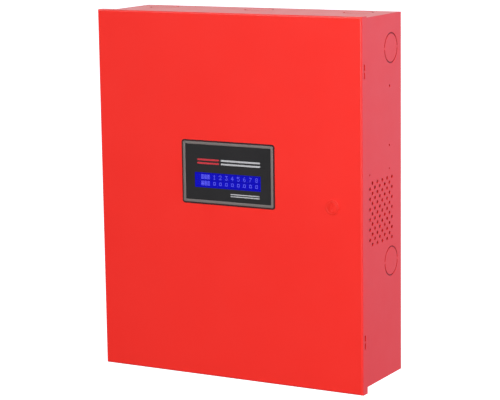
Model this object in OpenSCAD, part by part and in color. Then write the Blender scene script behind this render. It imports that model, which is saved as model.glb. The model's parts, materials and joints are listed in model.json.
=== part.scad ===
// Wall-mounted fire alarm control panel: a folded steel backbox with a hinged pan door,
// a two-row display in the door, a quarter-turn latch, a logic board, a power board and two batteries.
// Millimetres. The back face lies on y = 0, the door faces -Y, +Z is up,
// and x = 0, z = 0 is the middle of the wall fixing pattern, level with the middle of the door.

/* [Enclosure] */
// Width over the door
door_w = 368.3; // [368.3:0.1:372]
// Height of the door
door_h = 457.2; // [457.2:0.1:462]
// Depth from the wall to the door's front face
total_d = 118; // [118:0.5:124]
// Sheet steel thickness
sheet = 1.5; // [1.2:0.1:1.6]
// Depth of the lip folded round the door
lip = 13.5; // [13:0.5:14]
// Outside radius of every fold
fold_r = 2.2; // [2:0.1:2.6]
// Clearance between the door's lip and the box, on the hinge side
gap_hinge = 2.5; // [2.5:0.1:2.6]
// The same clearance on the latch side
gap_latch = 1.3; // [1.2:0.1:1.5]
// The same clearance above the box
gap_top = 0.7; // [0.6:0.1:1]
// The same clearance below the box, the room in which the door is lifted off
gap_bottom = 4.8; // [4:0.1:5]

/* [Openings in the walls] */
// Groove diameter of a conduit knockout
knockout_d = 37.6; // [34:0.1:38]
// Distance of the knockout rows from the wall
knockout_y = 31; // [30:1:34]
// Vent hole diameter
vent_d = 4.6; // [4:0.1:4.8]
// Vent hole columns, front to back
vent_columns = 10; // [8:2:10]
// Wall fixing screw clearance diameter
fixing_d = 7; // [5:0.5:7]
// Distance between the wall fixings, across
fixing_pitch_x = 334; // [330:1:336]
// Distance between the wall fixings, up and down
fixing_pitch_z = 410; // [404:1:412]

/* [Display] */
// Width of the display bezel
bezel_w = 127; // [126:0.5:128]
// Height of the display bezel
bezel_h = 76.2; // [76:0.2:77]
// Height of the bezel's middle above the middle of the door
bezel_z = 31; // [28:1:34]
// Width of the display window
window_w = 93; // [90:1:94]
// Height of the display window
window_h = 18.8; // [18:0.2:20]

/* [Latch] */
// Distance of the latch from the middle of the door
latch_x = 144.5; // [143:0.5:145]
// Diameter of the latch's front rim
latch_rim_d = 18.6; // [18:0.1:19]
// Length of the cam from the latch's axis to its tip
cam_reach = 28; // [26:0.5:28]

/* [Batteries] */
// Width of one battery
battery_w = 151; // [148:1:152]
// Depth of one battery
battery_d = 98; // [90:1:98]
// Height of one battery without its terminals
battery_h = 95; // [90:1:96]

/* [Hidden] */
$fn = 48;
eps = 0.01;

// Door and box outlines
front_y = -total_d;
door_x = door_w / 2;
door_z = door_h / 2;
skin_y = front_y + sheet;
box_x0 = -door_x + sheet + gap_hinge;
box_x1 = door_x - sheet - gap_latch;
box_z0 = -door_z + sheet + gap_bottom;
box_z1 = door_z - sheet - gap_top;
box_front_y = skin_y + 1;
flange_hinge = 8;
flange = 12;
floor_z = box_z0 + sheet;
back_y = -sheet;

// Pairs of short slots in each side lip, with a strap between them
lip_slot_z = 163.6;
lip_slot_l = 7.6;
lip_slot_w = 3.6;
lip_strap = 2.2;
lip_slot_y = front_y + 7.2;

// Knockouts
knockout_r = knockout_d / 2;
groove_w = 1.7;
groove_depth = 0.95;
side_knockout_z = [185, -78];
top_knockout_x = [-138, 0, 138];
bottom_knockout_x = [-138, 138];

// Vents: every second column holds one hole more and is half a pitch off
vent_pitch_y = 6.91;
vent_pitch_z = 12.5;
vent_mid_y = -59.5;
vent_mid_z = -10.7;
side_hole_list = [[-34.5, 139, 1.7], [-35.5, 66.5, 1.7], [-36, 38, 1.3], [-91, 37.5, 1.3]];

// Hinge: a continuous hinge behind the door's lip
knuckle_r = 2.7;
hinge_pin_r = 1.25;
hinge_bore_r = 1.3;
hinge_x = box_x0 - knuckle_r - 0.15;
hinge_y = front_y + lip + 0.4 + knuckle_r;
hinge_l = 440;
knuckle_count = 22;
knuckle_pitch = hinge_l / knuckle_count;
knuckle_gap = 0.4;
leaf_t = 1;
leaf_notch_y = hinge_y - knuckle_r - 0.7;

// Display stack, from the front face backwards
bezel_x = 1.3;
bezel_rim = 3.4;
bezel_ledge = 1.5;
bezel_proud = 1;
bezel_flange = 8;
bezel_rear_y = skin_y + 0.1;
bezel_t = 2;
bezel_x0 = bezel_x - bezel_w / 2;
bezel_x1 = bezel_x + bezel_w / 2;
bezel_z0 = bezel_z - bezel_h / 2;
bezel_z1 = bezel_z + bezel_h / 2;
bezel_stud_z = 26;
cutout_gap = 1.3;
overlay_y = front_y - 0.5;
overlay_t = 1.2;
window_x = bezel_x - 0.5;
window_z = bezel_z - 9.6;
lcd_y = overlay_y + overlay_t + 0.1;
lcd_t = 3;
lcd_frame_w = 108;
lcd_frame_h = 28;
lcd_board_w = 118;
lcd_board_h = 44;
lcd_board_y = lcd_y + lcd_t + 3.5;
lcd_stud_x = 53;
lcd_stud_z = 17.5;
stud_r = 1.5;
nut_flats = 5.5;
small_nut_t = 2.4;
board_t = 1.6;

// Latch
latch_core_r = 5;
latch_bore_r = latch_core_r + 0.06;
latch_body_r = 8;
nut_t = 2.6;
latch_body_end = skin_y + nut_t + 1;
cam_t = 2;
cam_half = 5;

// Boards
standoff_h = 10;
board_y = back_y - standoff_h;
face_y = board_y - board_t;
logic_x = [-160, -20];
logic_z = [-70, 190];
power_x = [2, 162];
power_z = [-70, 190];
screw_inset = 6;

// Relays, lamps and terminals of the logic board
relay_size = [19, 15.5, 15.2];
relay_x = [-112, -84];
relay_z0 = 58;
relay_pitch = 28;
relay_rows = 4;
lamp_pitch = 14;
terminal_pitch = 7.62;
output_ways = 16;
output_z0 = 50;
input_ways = 12;
input_x0 = -140;
input_z = -63;
terminal_depth = 12;
terminal_h = 15;
screw_line = terminal_depth - 5;
output_x0 = logic_x[0] + 1;
button_x = -42;
button_z = [20, 4, -12];

// Power board parts
sink_x = 148;
sink_z = [-52, 132];
sink_h = 52;
transistor_z = [-32, -6, 20, 72, 98];
transformer_at = [84, 42];
bulk_cap_at = [[52, 112], [90, 112]];
bulk_cap_r = 15;
bulk_cap_h = 46;
output_cap_at = [[40, -18], [58, -18], [76, -18], [94, -18], [112, -18]];
output_cap_r = 6.5;
output_cap_h = 26;
choke_at = [[30, 62], [118, -40]];
choke_r = 14;
choke_hole_r = 7;
choke_t = 12;
suppression_at = [[24, 140], [24, 160]];
mains_at = [118, 178];
mains_ways = 3;
mains_pitch = 11;
fuse_at = [70, 176];
dc_terminal_at = [40, -63];
dc_ways = 4;

// Batteries
battery_gap = 6;
battery_y = back_y - 3;
battery_front = battery_y - battery_d;
battery_top = floor_z + battery_h;
post_inset = 12;
post_x = [-145, -15, 15, 145];
post_y = battery_front + 11;
post_z = battery_top - 6;

// Ribbon: flat cable from the display plug, along the door, round the hinge corner and back to the board
ribbon_w = 20;
ribbon_t = 1;
ribbon_z = window_z;
display_plug_x = -48;
ribbon_door_y = -95.5;
ribbon_board_y = -27;
ribbon_turn_x = -152;
ribbon_turn_r = 16;
ribbon_edge_x = ribbon_turn_x - ribbon_turn_r;
ribbon_return_r = 13;
board_plug_x = -97;

// Wire routes, as points that a smooth curve passes through
socket_z = battery_top + 14;
red_route = [
    [-145, post_y, socket_z], [-145, post_y, -107], [-145, post_y, -101], [-141, -80, -92], [-120, -64, -87],
    [-60, -58, -89], [0, -52, -87], [34, -40, -84], [42.5, -27, -78], [43.8, -19.5, -70],
    [43.8, -18.6, -64], [43.8, -18.6, -59.5]
];
black_route = [
    [145, post_y, socket_z], [145, post_y, -107], [145, post_y, -101], [140, -82, -92], [118, -66, -88],
    [86, -54, -87], [62, -40, -84], [53, -27, -78], [51.4, -19.5, -70],
    [51.4, -18.6, -64], [51.4, -18.6, -59.5]
];
link_route = [
    [-15, post_y, socket_z], [-15, post_y, -108], [-15, post_y, -103], [-10, post_y, -97], [0, post_y, -95],
    [10, post_y, -97], [15, post_y, -103], [15, post_y, -108], [15, post_y, socket_z]
];
earth_route = [
    [-145, -112.9, -95], [-150, -112.9, -95], [-155, -112, -95.5], [-163, -106, -99], [-168, -92, -108],
    [-169, -74, -117], [-169, -54, -119], [-168, -36, -112], [-164, -20, -102],
    [-154, -8, -96], [-144, -5.3, -95], [-138, -5.1, -95], [-133, -5.1, -95]
];
supply_route = [
    [-27, -17.5, 96], [-27, -21, 96], [-26, -27, 96], [-20, -32, 96], [-10, -33, 96],
    [0, -31, 96], [6, -26, 96], [8, -21, 96], [8, -17.5, 96]
];
supply_x = [-27, 8];
supply_pitch = 6;
supply_d = 2.4;
lead_d = 3.2;
earth_d = 3;
lug_offset = 3.6;
lug_l = 11;
earth_door_at = [-137, -95];
earth_box_at = [-125, -95];

// ---------- Shared shapes ----------

// A box between two corners
module block(x, y, z) {
    translate([min(x[0], x[1]), min(y[0], y[1]), min(z[0], z[1])])
        cube([abs(x[1] - x[0]), abs(y[1] - y[0]), abs(z[1] - z[0])]);
}

// A rod along Y from y0 to y1
module rod_y(x, z, y0, y1, r) {
    translate([x, min(y0, y1), z])
        rotate([-90, 0, 0])
            cylinder(r = r, h = abs(y1 - y0));
}

// A rod along X from x0 to x1
module rod_x(y, z, x0, x1, r) {
    translate([min(x0, x1), y, z])
        rotate([0, 90, 0])
            cylinder(r = r, h = abs(x1 - x0));
}

// A rod along Z from z0 to z1
module rod_z(x, y, z0, z1, r) {
    translate([x, y, min(z0, z1)])
        cylinder(r = r, h = abs(z1 - z0));
}

// A hexagon across its flats, along Y
module hex_y(x, z, y0, y1, flats) {
    translate([x, min(y0, y1), z])
        rotate([-90, 0, 0])
            cylinder(r = flats / sqrt(3), h = abs(y1 - y0), $fn = 6);
}

// A rectangle with round corners
module round_rect(x0, x1, y0, y1, r) {
    translate([x0 + r, y0]) square([x1 - x0 - 2 * r, y1 - y0]);
    translate([x0, y0 + r]) square([x1 - x0, y1 - y0 - 2 * r]);
    for (x = [x0 + r, x1 - r], y = [y0 + r, y1 - r])
        translate([x, y]) circle(r = r);
}

// A round-cornered plate that faces -Y, between y0 and y1
module face_plate(x0, x1, z0, z1, y0, y1, r) {
    translate([0, y1, 0])
        rotate([90, 0, 0])
            linear_extrude(height = y1 - y0)
                round_rect(x0, x1, z0, z1, r);
}

// A body folded from sheet: round where a fold runs, and mitred at its corners
module folded_body(x, y, z, r) {
    intersection() {
        translate([0, 0, z[0]])
            linear_extrude(height = z[1] - z[0])
                round_rect(x[0], x[1], y[0], y[1], r);
        translate([x[0], 0, 0])
            rotate([90, 0, 90])
                linear_extrude(height = x[1] - x[0])
                    round_rect(y[0], y[1], z[0], z[1], r);
    }
}

// One ring groove cut from a face, as a knockout has, left whole at two small tabs
module ring_groove(r, depth) {
    difference() {
        translate([0, 0, -depth]) cylinder(r = r, h = depth + 1);
        translate([0, 0, -depth - 1]) cylinder(r = r - groove_w, h = depth + 3);
        translate([-1.2, -r - 1, -depth - 1]) cube([2.4, 2 * r + 2, depth + 3]);
    }
}

// ---------- Paths ----------

function unit(v) = v / norm(v);

// A point on a Catmull-Rom curve, between p[i] and p[i + 1]
function curve_at(p, i, t) =
    let (
        last = len(p) - 1,
        a = i == 0 ? 2 * p[0] - p[1] : p[i - 1],
        b = p[i],
        c = p[i + 1],
        d = i + 2 > last ? 2 * p[last] - p[last - 1] : p[i + 2]
    )
    b + 0.5 * (t * (c - a) + t * t * (2 * a - 5 * b + 4 * c - d) + t * t * t * (3 * b - a - 3 * c + d));

function smooth(p, steps) = concat(
    [for (i = [0:len(p) - 2], k = [0:steps - 1]) curve_at(p, i, k / steps)],
    [p[len(p) - 1]]
);

function tangents(p) = [
    for (i = [0:len(p) - 1])
        unit(p[min(i + 1, len(p) - 1)] - p[max(i - 1, 0)])
];

function across(v, t) = unit(v - (v * t) * t);

// One side direction for each point, carried along so that the tube doesn't twist
function side_vectors(t) = [
    for (i = 0, n = across([0.3, 0.2, 1], t[0]); i < len(t); i = i + 1, n = i < len(t) ? across(n, t[i]) : n)
        n
];

// A round wire swept along a smooth route
module wire(route, d, steps = 4, sides = 8) {
    p = smooth(route, steps);
    t = tangents(p);
    n = side_vectors(t);
    rings = len(p);
    points = [
        for (i = [0:rings - 1], k = [0:sides - 1])
            p[i] + d / 2 * (cos(360 * k / sides) * n[i] + sin(360 * k / sides) * cross(t[i], n[i]))
    ];
    walls = [
        for (i = [0:rings - 2], k = [0:sides - 1])
            let (a = i * sides + k, b = i * sides + (k + 1) % sides)
                [a, a + sides, b + sides, b]
    ];
    start_cap = [[for (k = [0:sides - 1]) k]];
    end_cap = [[for (k = [sides - 1:-1:0]) (rings - 1) * sides + k]];
    polyhedron(points = points, faces = concat(start_cap, walls, end_cap));
}

// ---------- Enclosure ----------

module vents(x0, x1) {
    for (c = [0:vent_columns - 1]) {
        y = vent_mid_y + (c - (vent_columns - 1) / 2) * vent_pitch_y;
        rows = c % 2 == 0 ? 6 : 7;
        for (k = [0:rows - 1])
            rod_x(y, vent_mid_z + (k - (rows - 1) / 2) * vent_pitch_z, x0, x1, vent_d / 2);
    }
}

module side_cuts() {
    for (side = [0, 1]) {
        x = side == 0 ? box_x0 : box_x1;
        vents(x - 3, x + 3);
        for (h = side_hole_list) rod_x(h[0], h[1], x - 3, x + 3, h[2]);
        for (z = side_knockout_z)
            translate([x, -knockout_y, z])
                rotate([0, side == 0 ? -90 : 90, 0])
                    ring_groove(knockout_r, groove_depth);
    }
}

module end_cuts() {
    for (x = top_knockout_x)
        translate([x, -knockout_y, box_z1]) rotate([0, 0, 90]) ring_groove(knockout_r, groove_depth);
    for (x = bottom_knockout_x)
        translate([x, -knockout_y, box_z0]) rotate([180, 0, 90]) ring_groove(knockout_r, groove_depth);
}

// Two keyholes hang the box, and two plain holes below fix it
module fixing_cuts() {
    for (x = [-fixing_pitch_x / 2, fixing_pitch_x / 2]) {
        rod_y(x, -fixing_pitch_z / 2, -5, 5, fixing_d / 2);
        rod_y(x, fixing_pitch_z / 2 - 8, -5, 5, fixing_d);
        rod_y(x, fixing_pitch_z / 2, -5, 5, fixing_d / 2);
        block([x - fixing_d / 2, x + fixing_d / 2], [-5, 5], [fixing_pitch_z / 2 - 8, fixing_pitch_z / 2]);
    }
}

module backbox() {
    color("firebrick")
    difference() {
        folded_body([box_x0, box_x1], [box_front_y, 0], [box_z0, box_z1], fold_r);
        folded_body([box_x0 + sheet, box_x1 - sheet], [box_front_y + sheet, -sheet],
                    [box_z0 + sheet, box_z1 - sheet], fold_r - sheet);
        block([box_x0 + flange_hinge, box_x1 - flange], [box_front_y - 5, box_front_y + 5],
              [box_z0 + flange, box_z1 - flange]);
        side_cuts();
        end_cuts();
        fixing_cuts();
    }
}

// Pairs of slots through a side lip, each pair with its strap left whole
module lip_slots(x) {
    for (z = [-lip_slot_z, lip_slot_z], s = [-1, 1])
        block([x - 3, x + 3], [lip_slot_y - lip_slot_w / 2, lip_slot_y + lip_slot_w / 2],
              [z + s * lip_strap / 2, z + s * (lip_strap / 2 + lip_slot_l)]);
}

// Open seams where two lips meet at a corner of the pan
module lip_seams() {
    seam = 0.6;
    for (sx = [-1, 1], sz = [-1, 1])
        block([sx * (door_x - sheet), sx * (door_x - sheet - seam)],
              [front_y + fold_r + 1, front_y + lip + 1],
              [sz * (door_z - sheet - 1), sz * (door_z + 1)]);
}

module front_door() {
    color("red")
    difference() {
        folded_body([-door_x, door_x], [front_y, front_y + 3 * lip], [-door_z, door_z], fold_r);
        folded_body([-door_x + sheet, door_x - sheet], [skin_y, front_y + 4 * lip],
                    [-door_z + sheet, door_z - sheet], fold_r - sheet);
        block([-door_x - 5, door_x + 5], [front_y + lip, front_y + 4 * lip], [-door_z - 5, door_z + 5]);
        face_plate(bezel_x - bezel_w / 2 - cutout_gap, bezel_x + bezel_w / 2 + cutout_gap,
                   bezel_z - bezel_h / 2 - cutout_gap, bezel_z + bezel_h / 2 + cutout_gap,
                   front_y - 2, skin_y + 2, 2.5);
        rod_y(latch_x, 0, front_y - 3, skin_y + 3, latch_body_r + 0.2);
        lip_slots(-door_x);
        lip_slots(door_x);
        lip_seams();
    }
}

// ---------- Hinge ----------

// Knuckles number first, first + 2, ... each with the tongue that joins it to its leaf
module knuckles(first, x) {
    for (k = [first:2:knuckle_count - 1]) {
        z0 = -hinge_l / 2 + k * knuckle_pitch + knuckle_gap / 2;
        z1 = z0 + knuckle_pitch - knuckle_gap;
        rod_z(hinge_x, hinge_y, z0, z1, knuckle_r);
        block(x, [leaf_notch_y - eps, hinge_y], [z0, z1]);
    }
}

module hinge_leaf(x, front, first) {
    color("silver")
    difference() {
        union() {
            block(x, [front, leaf_notch_y], [-hinge_l / 2, hinge_l / 2]);
            knuckles(first, x);
        }
        rod_z(hinge_x, hinge_y, -hinge_l / 2 - 1, hinge_l / 2 + 1, hinge_bore_r);
    }
}

module hinge_leaf_box() {
    hinge_leaf([box_x0 - leaf_t, box_x0], box_front_y + 3, 0);
}

module hinge_leaf_door() {
    hinge_leaf([-door_x + sheet, -door_x + sheet + leaf_t], skin_y + 1, 1);
}

module hinge_pin() {
    color("gray") rod_z(hinge_x, hinge_y, -hinge_l / 2 - 1.5, hinge_l / 2 + 1.5, hinge_pin_r);
}

// ---------- Display ----------

lcd_stud_at = [
    for (x = [-lcd_stud_x, lcd_stud_x], z = [-lcd_stud_z, lcd_stud_z]) [window_x + x, window_z + z]
];
bezel_stud_at = [
    for (x = [bezel_x0 - 4, bezel_x1 + 4], z = [-bezel_stud_z, bezel_stud_z]) [x, bezel_z + z]
];

module display_bezel() {
    rear = bezel_rear_y + bezel_t;
    inner = bezel_rim + bezel_ledge;
    color("darkgray")
    difference() {
        union() {
            face_plate(bezel_x0, bezel_x1, bezel_z0, bezel_z1, front_y - bezel_proud, rear, 2);
            face_plate(bezel_x0 - bezel_flange, bezel_x1 + bezel_flange, bezel_z0 - 5, bezel_z1 + 5,
                       bezel_rear_y, rear, 3);
        }
        face_plate(bezel_x0 + bezel_rim, bezel_x1 - bezel_rim, bezel_z0 + bezel_rim, bezel_z1 - bezel_rim,
                   front_y - bezel_proud - 1, overlay_y + overlay_t, 1);
        face_plate(bezel_x0 + inner, bezel_x1 - inner, bezel_z0 + inner, bezel_z1 - inner,
                   front_y - bezel_proud - 1, rear + 1, 1);
        for (c = bezel_stud_at) rod_y(c[0], c[1], bezel_rear_y - 1, rear + 1, stud_r + 0.2);
    }
}

module display_overlay() {
    inset = bezel_rim + 0.15;
    color("#202224")
    difference() {
        face_plate(bezel_x0 + inset, bezel_x1 - inset, bezel_z0 + inset, bezel_z1 - inset,
                   overlay_y, overlay_y + overlay_t, 0.9);
        face_plate(window_x - window_w / 2, window_x + window_w / 2,
                   window_z - window_h / 2, window_z + window_h / 2,
                   overlay_y - 1, overlay_y + overlay_t + 1, 0.5);
    }
}

module display_window() {
    edge = 0.05;
    color("lightblue", 0.4)
    face_plate(window_x - window_w / 2 + edge, window_x + window_w / 2 - edge,
               window_z - window_h / 2 + edge, window_z + window_h / 2 - edge,
               overlay_y + 0.1, overlay_y + overlay_t, 0.45);
}

module lcd_glass() {
    color("mediumblue")
    block([window_x - window_w / 2 - 2.5, window_x + window_w / 2 + 2.5], [lcd_y, lcd_y + lcd_t],
          [window_z - window_h / 2 - 2, window_z + window_h / 2 + 2]);
}

module lcd_frame() {
    rim_y = lcd_y + lcd_t;
    color("black")
    difference() {
        block([window_x - lcd_frame_w / 2, window_x + lcd_frame_w / 2], [lcd_y + 0.4, lcd_board_y],
              [window_z - lcd_frame_h / 2, window_z + lcd_frame_h / 2]);
        block([window_x - window_w / 2 - 2.55, window_x + window_w / 2 + 2.55], [lcd_y - 1, rim_y],
              [window_z - window_h / 2 - 2.05, window_z + window_h / 2 + 2.05]);
    }
}

module lcd_board() {
    color("darkgreen")
    difference() {
        block([window_x - lcd_board_w / 2, window_x + lcd_board_w / 2], [lcd_board_y, lcd_board_y + board_t],
              [window_z - lcd_board_h / 2, window_z + lcd_board_h / 2]);
        for (c = lcd_stud_at) rod_y(c[0], c[1], lcd_board_y - 1, lcd_board_y + 3, stud_r + 0.2);
    }
}

// Four studs with spacer collars carry the display board, and four on the door hold the bezel
module display_studs() {
    color("silver") {
        for (c = lcd_stud_at) {
            rod_y(c[0], c[1], overlay_y + overlay_t, lcd_board_y, stud_r + 0.6);
            rod_y(c[0], c[1], lcd_board_y - 1, lcd_board_y + board_t + 5, stud_r);
        }
        for (c = bezel_stud_at) rod_y(c[0], c[1], skin_y, bezel_rear_y + bezel_t + 5, stud_r);
    }
}

module small_nut(c, y) {
    difference() {
        hex_y(c[0], c[1], y, y + small_nut_t, nut_flats);
        rod_y(c[0], c[1], y - 1, y + small_nut_t + 1, stud_r + 0.02);
    }
}

module display_nuts() {
    color("silver") {
        for (c = lcd_stud_at) small_nut(c, lcd_board_y + board_t);
        for (c = bezel_stud_at) small_nut(c, bezel_rear_y + bezel_t);
    }
}

// A cable socket seated on a pin header. The ribbon goes in through its side
module cable_plug(x, z, y_board, y_ribbon) {
    half = 4.6;
    s = y_ribbon > y_board ? 1 : -1;
    color("#303236") {
        block([x - half, x + half], [y_board, y_ribbon - s * 1.5], [z - 14, z + 14]);
        block([x - half + 1.2, x + half - 1.2], [y_ribbon - s * 1.5, y_ribbon - s * ribbon_t / 2],
              [z - 13, z + 13]);
        block([x - half + 1.2, x + half - 1.2], [y_ribbon + s * ribbon_t / 2, y_ribbon + s * 2.5],
              [z - 13, z + 13]);
        for (e = [-1, 1])
            block([x - half + 1.2, x + half - 1.2], [y_ribbon - s * 1.5, y_ribbon + s * 2.5],
                  [z + e * (ribbon_w / 2 + 0.3), z + e * 13]);
    }
}

module display_plug() {
    cable_plug(display_plug_x, ribbon_z, lcd_board_y + board_t, ribbon_door_y);
}

module board_plug() {
    cable_plug(board_plug_x, ribbon_z, face_y, ribbon_board_y);
}

// A quarter turn of the ribbon about an upright axis, from angle a to a + 90
module ribbon_turn(x, y, r, a) {
    translate([x, y, ribbon_z - ribbon_w / 2])
        rotate([0, 0, a])
            rotate_extrude(angle = 90)
                translate([r - ribbon_t / 2, 0]) square([ribbon_t, ribbon_w]);
}

module ribbon_cable() {
    half = ribbon_t / 2;
    z = [ribbon_z - ribbon_w / 2, ribbon_z + ribbon_w / 2];
    deep_y = ribbon_board_y - ribbon_return_r;
    return_x = ribbon_edge_x + ribbon_return_r;
    color("lightgray") {
        block([ribbon_turn_x, display_plug_x], [ribbon_door_y - half, ribbon_door_y + half], z);
        ribbon_turn(ribbon_turn_x, ribbon_door_y + ribbon_turn_r, ribbon_turn_r, 180);
        block([ribbon_edge_x - half, ribbon_edge_x + half], [ribbon_door_y + ribbon_turn_r, deep_y], z);
        ribbon_turn(return_x, deep_y, ribbon_return_r, 90);
        block([return_x, board_plug_x], [ribbon_board_y - half, ribbon_board_y + half], z);
    }
}

// ---------- Latch ----------

module latch_body() {
    color("red")
    difference() {
        union() {
            rod_y(latch_x, 0, front_y - 1, front_y, latch_rim_d / 2);
            rod_y(latch_x, 0, front_y - eps, latch_body_end, latch_body_r);
        }
        rod_y(latch_x, 0, front_y - 3, latch_body_end + 3, latch_bore_r);
        rod_y(latch_x, 0, front_y - 3, front_y + 0.6, 7.1);
    }
}

module latch_nut() {
    color("silver")
    difference() {
        hex_y(latch_x, 0, skin_y, skin_y + nut_t, 21);
        rod_y(latch_x, 0, skin_y - 1, skin_y + nut_t + 1, latch_body_r + 0.02);
    }
}

module latch_core() {
    color("red")
    difference() {
        union() {
            rod_y(latch_x, 0, front_y - 1, front_y + 0.5, 7);
            rod_y(latch_x, 0, front_y, latch_body_end + 0.2, latch_core_r);
        }
        block([latch_x - 0.7, latch_x + 0.7], [front_y - 2, front_y - 0.1], [-4.6, 4.6]);
        rod_y(latch_x, 0, latch_body_end - 3.5, latch_body_end + 1, 1.6);
    }
}

// The cam hangs down when the latch is open, and turns towards the box's side flange to close
module latch_cam() {
    y0 = latch_body_end + 0.2;
    color("silver")
    difference() {
        union() {
            rod_y(latch_x, 0, y0, y0 + cam_t, 7.5);
            rod_y(latch_x, -cam_reach + cam_half, y0, y0 + cam_t, cam_half);
            block([latch_x - cam_half, latch_x + cam_half], [y0, y0 + cam_t], [-cam_reach + cam_half, 0]);
        }
        rod_y(latch_x, 0, y0 - 1, y0 + cam_t + 1, 2);
    }
}

module latch_screw() {
    head_y = latch_body_end + 0.2 + cam_t;
    color("silver")
    difference() {
        union() {
            hex_y(latch_x, 0, head_y, head_y + 3, 8);
            rod_y(latch_x, 0, latch_body_end - 3, head_y + eps, 1.58);
        }
        block([latch_x - 3, latch_x + 3], [head_y + 2.2, head_y + 4], [-0.5, 0.5]);
    }
}

// ---------- Boards and their fixings ----------

function corners(x, z) = [
    for (cx = [x[0] + screw_inset, x[1] - screw_inset])
        for (cz = [z[0] + screw_inset, z[1] - screw_inset]) [cx, cz]
];
board_corners = concat(corners(logic_x, logic_z), corners(power_x, power_z));

module circuit_board(x, z) {
    difference() {
        face_plate(x[0], x[1], z[0], z[1], face_y, board_y, 2);
        for (c = corners(x, z)) rod_y(c[0], c[1], face_y - 1, board_y + 1, 1.7);
    }
}

module logic_board() {
    color("darkgreen") circuit_board(logic_x, logic_z);
}

module power_board() {
    color("darkgreen") circuit_board(power_x, power_z);
}

module board_standoffs() {
    color("silver")
    for (c = board_corners)
        difference() {
            hex_y(c[0], c[1], board_y, back_y, 7);
            rod_y(c[0], c[1], board_y - 1, board_y + 7, 1.55);
        }
}

module board_screws() {
    color("silver")
    for (c = board_corners)
        difference() {
            union() {
                rod_y(c[0], c[1], face_y - 2.2, face_y, 3);
                rod_y(c[0], c[1], face_y - eps, board_y + 5.5, 1.5);
            }
            block([c[0] - 2, c[0] + 2], [face_y - 3, face_y - 1], [c[1] - 0.4, c[1] + 0.4]);
            block([c[0] - 0.4, c[0] + 0.4], [face_y - 3, face_y - 1], [c[1] - 2, c[1] + 2]);
        }
}

// ---------- Logic board parts ----------

module relays() {
    color("steelblue")
    for (x = relay_x, k = [0:relay_rows - 1])
        translate([x, 0, relay_z0 + k * relay_pitch])
            face_plate(-relay_size[0] / 2, relay_size[0] / 2, -relay_size[1] / 2, relay_size[1] / 2,
                       face_y - relay_size[2], face_y, 0.8);
}

module logic_chips() {
    color("#18191b") {
        block([-88, -74], [face_y - 1.6, face_y], [10, 24]);
        for (x = [-73, -58], z = [-6, -28])
            block([x - 5, x + 5], [face_y - 1.5, face_y], [z - 3, z + 3]);
        block([-108, -98], [face_y - 1.6, face_y], [-40, -30]);
    }
}

// A round lamp with a domed tip
module lamp(x, z) {
    rod_y(x, z, face_y - 3.4, face_y, 1.5);
    translate([x, face_y - 3.4, z]) sphere(r = 1.5);
    rod_y(x, z, face_y - 1, face_y, 1.8);
}

module output_lamps() {
    color("red")
    for (k = [0:7]) lamp(-58, relay_z0 + k * lamp_pitch - 7);
}

module power_lamp() {
    color("lime") lamp(-58, 172);
}

// A row of screw clamps: along Z for the outputs, and along X for the inputs and the battery
module clamp_row(x, z, ways, along_x) {
    l = ways * terminal_pitch;
    dx = along_x ? l : terminal_depth;
    dz = along_x ? terminal_depth : l;
    difference() {
        block([x, x + dx], [face_y - terminal_h, face_y], [z, z + dz]);
        for (k = [0:ways - 1]) {
            c = (k + 0.5) * terminal_pitch;
            cx = along_x ? x + c : x + screw_line;
            cz = along_x ? z + screw_line : z + c;
            rod_y(cx, cz, face_y - terminal_h - 1, face_y - terminal_h + 4, 2.4);
            if (along_x)
                block([cx - 2.2, cx + 2.2], [face_y - 8, face_y - 3], [z - 1, z + 5]);
            else
                block([x - 1, x + 5], [face_y - 8, face_y - 3], [cz - 2.2, cz + 2.2]);
        }
    }
}

module terminal_blocks() {
    color("seagreen") {
        clamp_row(output_x0, output_z0, output_ways, false);
        clamp_row(input_x0, input_z, input_ways, true);
        clamp_row(dc_terminal_at[0], dc_terminal_at[1], dc_ways, true);
    }
}

// Screw centres of every clamp row and of the mains block, as [x, z, head radius, head height]
clamp_screws = concat(
    [for (k = [0:output_ways - 1]) [output_x0 + screw_line, output_z0 + (k + 0.5) * terminal_pitch, 2.1, 12]],
    [for (k = [0:input_ways - 1]) [input_x0 + (k + 0.5) * terminal_pitch, input_z + screw_line, 2.1, 12]],
    [for (k = [0:dc_ways - 1])
        [dc_terminal_at[0] + (k + 0.5) * terminal_pitch, dc_terminal_at[1] + screw_line, 2.1, 12]],
    [for (k = [0:mains_ways - 1])
        [mains_at[0] + (k + 0.5 - mains_ways / 2) * mains_pitch, mains_at[1] + 1, 3.2, 10.6]]
);

module terminal_screws() {
    slot = 0.8;
    color("silver")
    for (s = clamp_screws)
        difference() {
            rod_y(s[0], s[1], face_y - s[3] - 1.8, face_y - s[3] + 0.99, s[2]);
            block([s[0] - s[2], s[0] + s[2]], [face_y - s[3] - 3, face_y - s[3] - 0.9],
                  [s[1] - slot / 2, s[1] + slot / 2]);
        }
}

module switch_bases() {
    color("#2a2b2d")
    for (z = button_z)
        difference() {
            block([button_x - 6, button_x + 6], [face_y - 4.3, face_y], [z - 6, z + 6]);
            rod_y(button_x, z, face_y - 5, face_y - 1.2, 3.6);
        }
}

module push_button(z) {
    color("gainsboro") {
        rod_y(button_x, z, face_y - 9, face_y - 2.4, 3.5);
        rod_y(button_x, z, face_y - 9, face_y - 6, 5);
    }
}

module button_menu() { push_button(button_z[0]); }
module button_up() { push_button(button_z[1]); }
module button_down() { push_button(button_z[2]); }

// ---------- Power board parts ----------

module heat_sink() {
    fins = 6;
    fin_pitch = (sink_h - 3) / (fins - 1);
    color("silver")
    translate([0, 0, sink_z[0]])
    linear_extrude(height = sink_z[1] - sink_z[0]) {
        translate([sink_x, face_y - sink_h]) square([3, sink_h]);
        for (k = [0:fins - 1])
            translate([sink_x + 2, face_y - 2 - k * fin_pitch]) square([10, 1.6]);
    }
}

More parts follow.
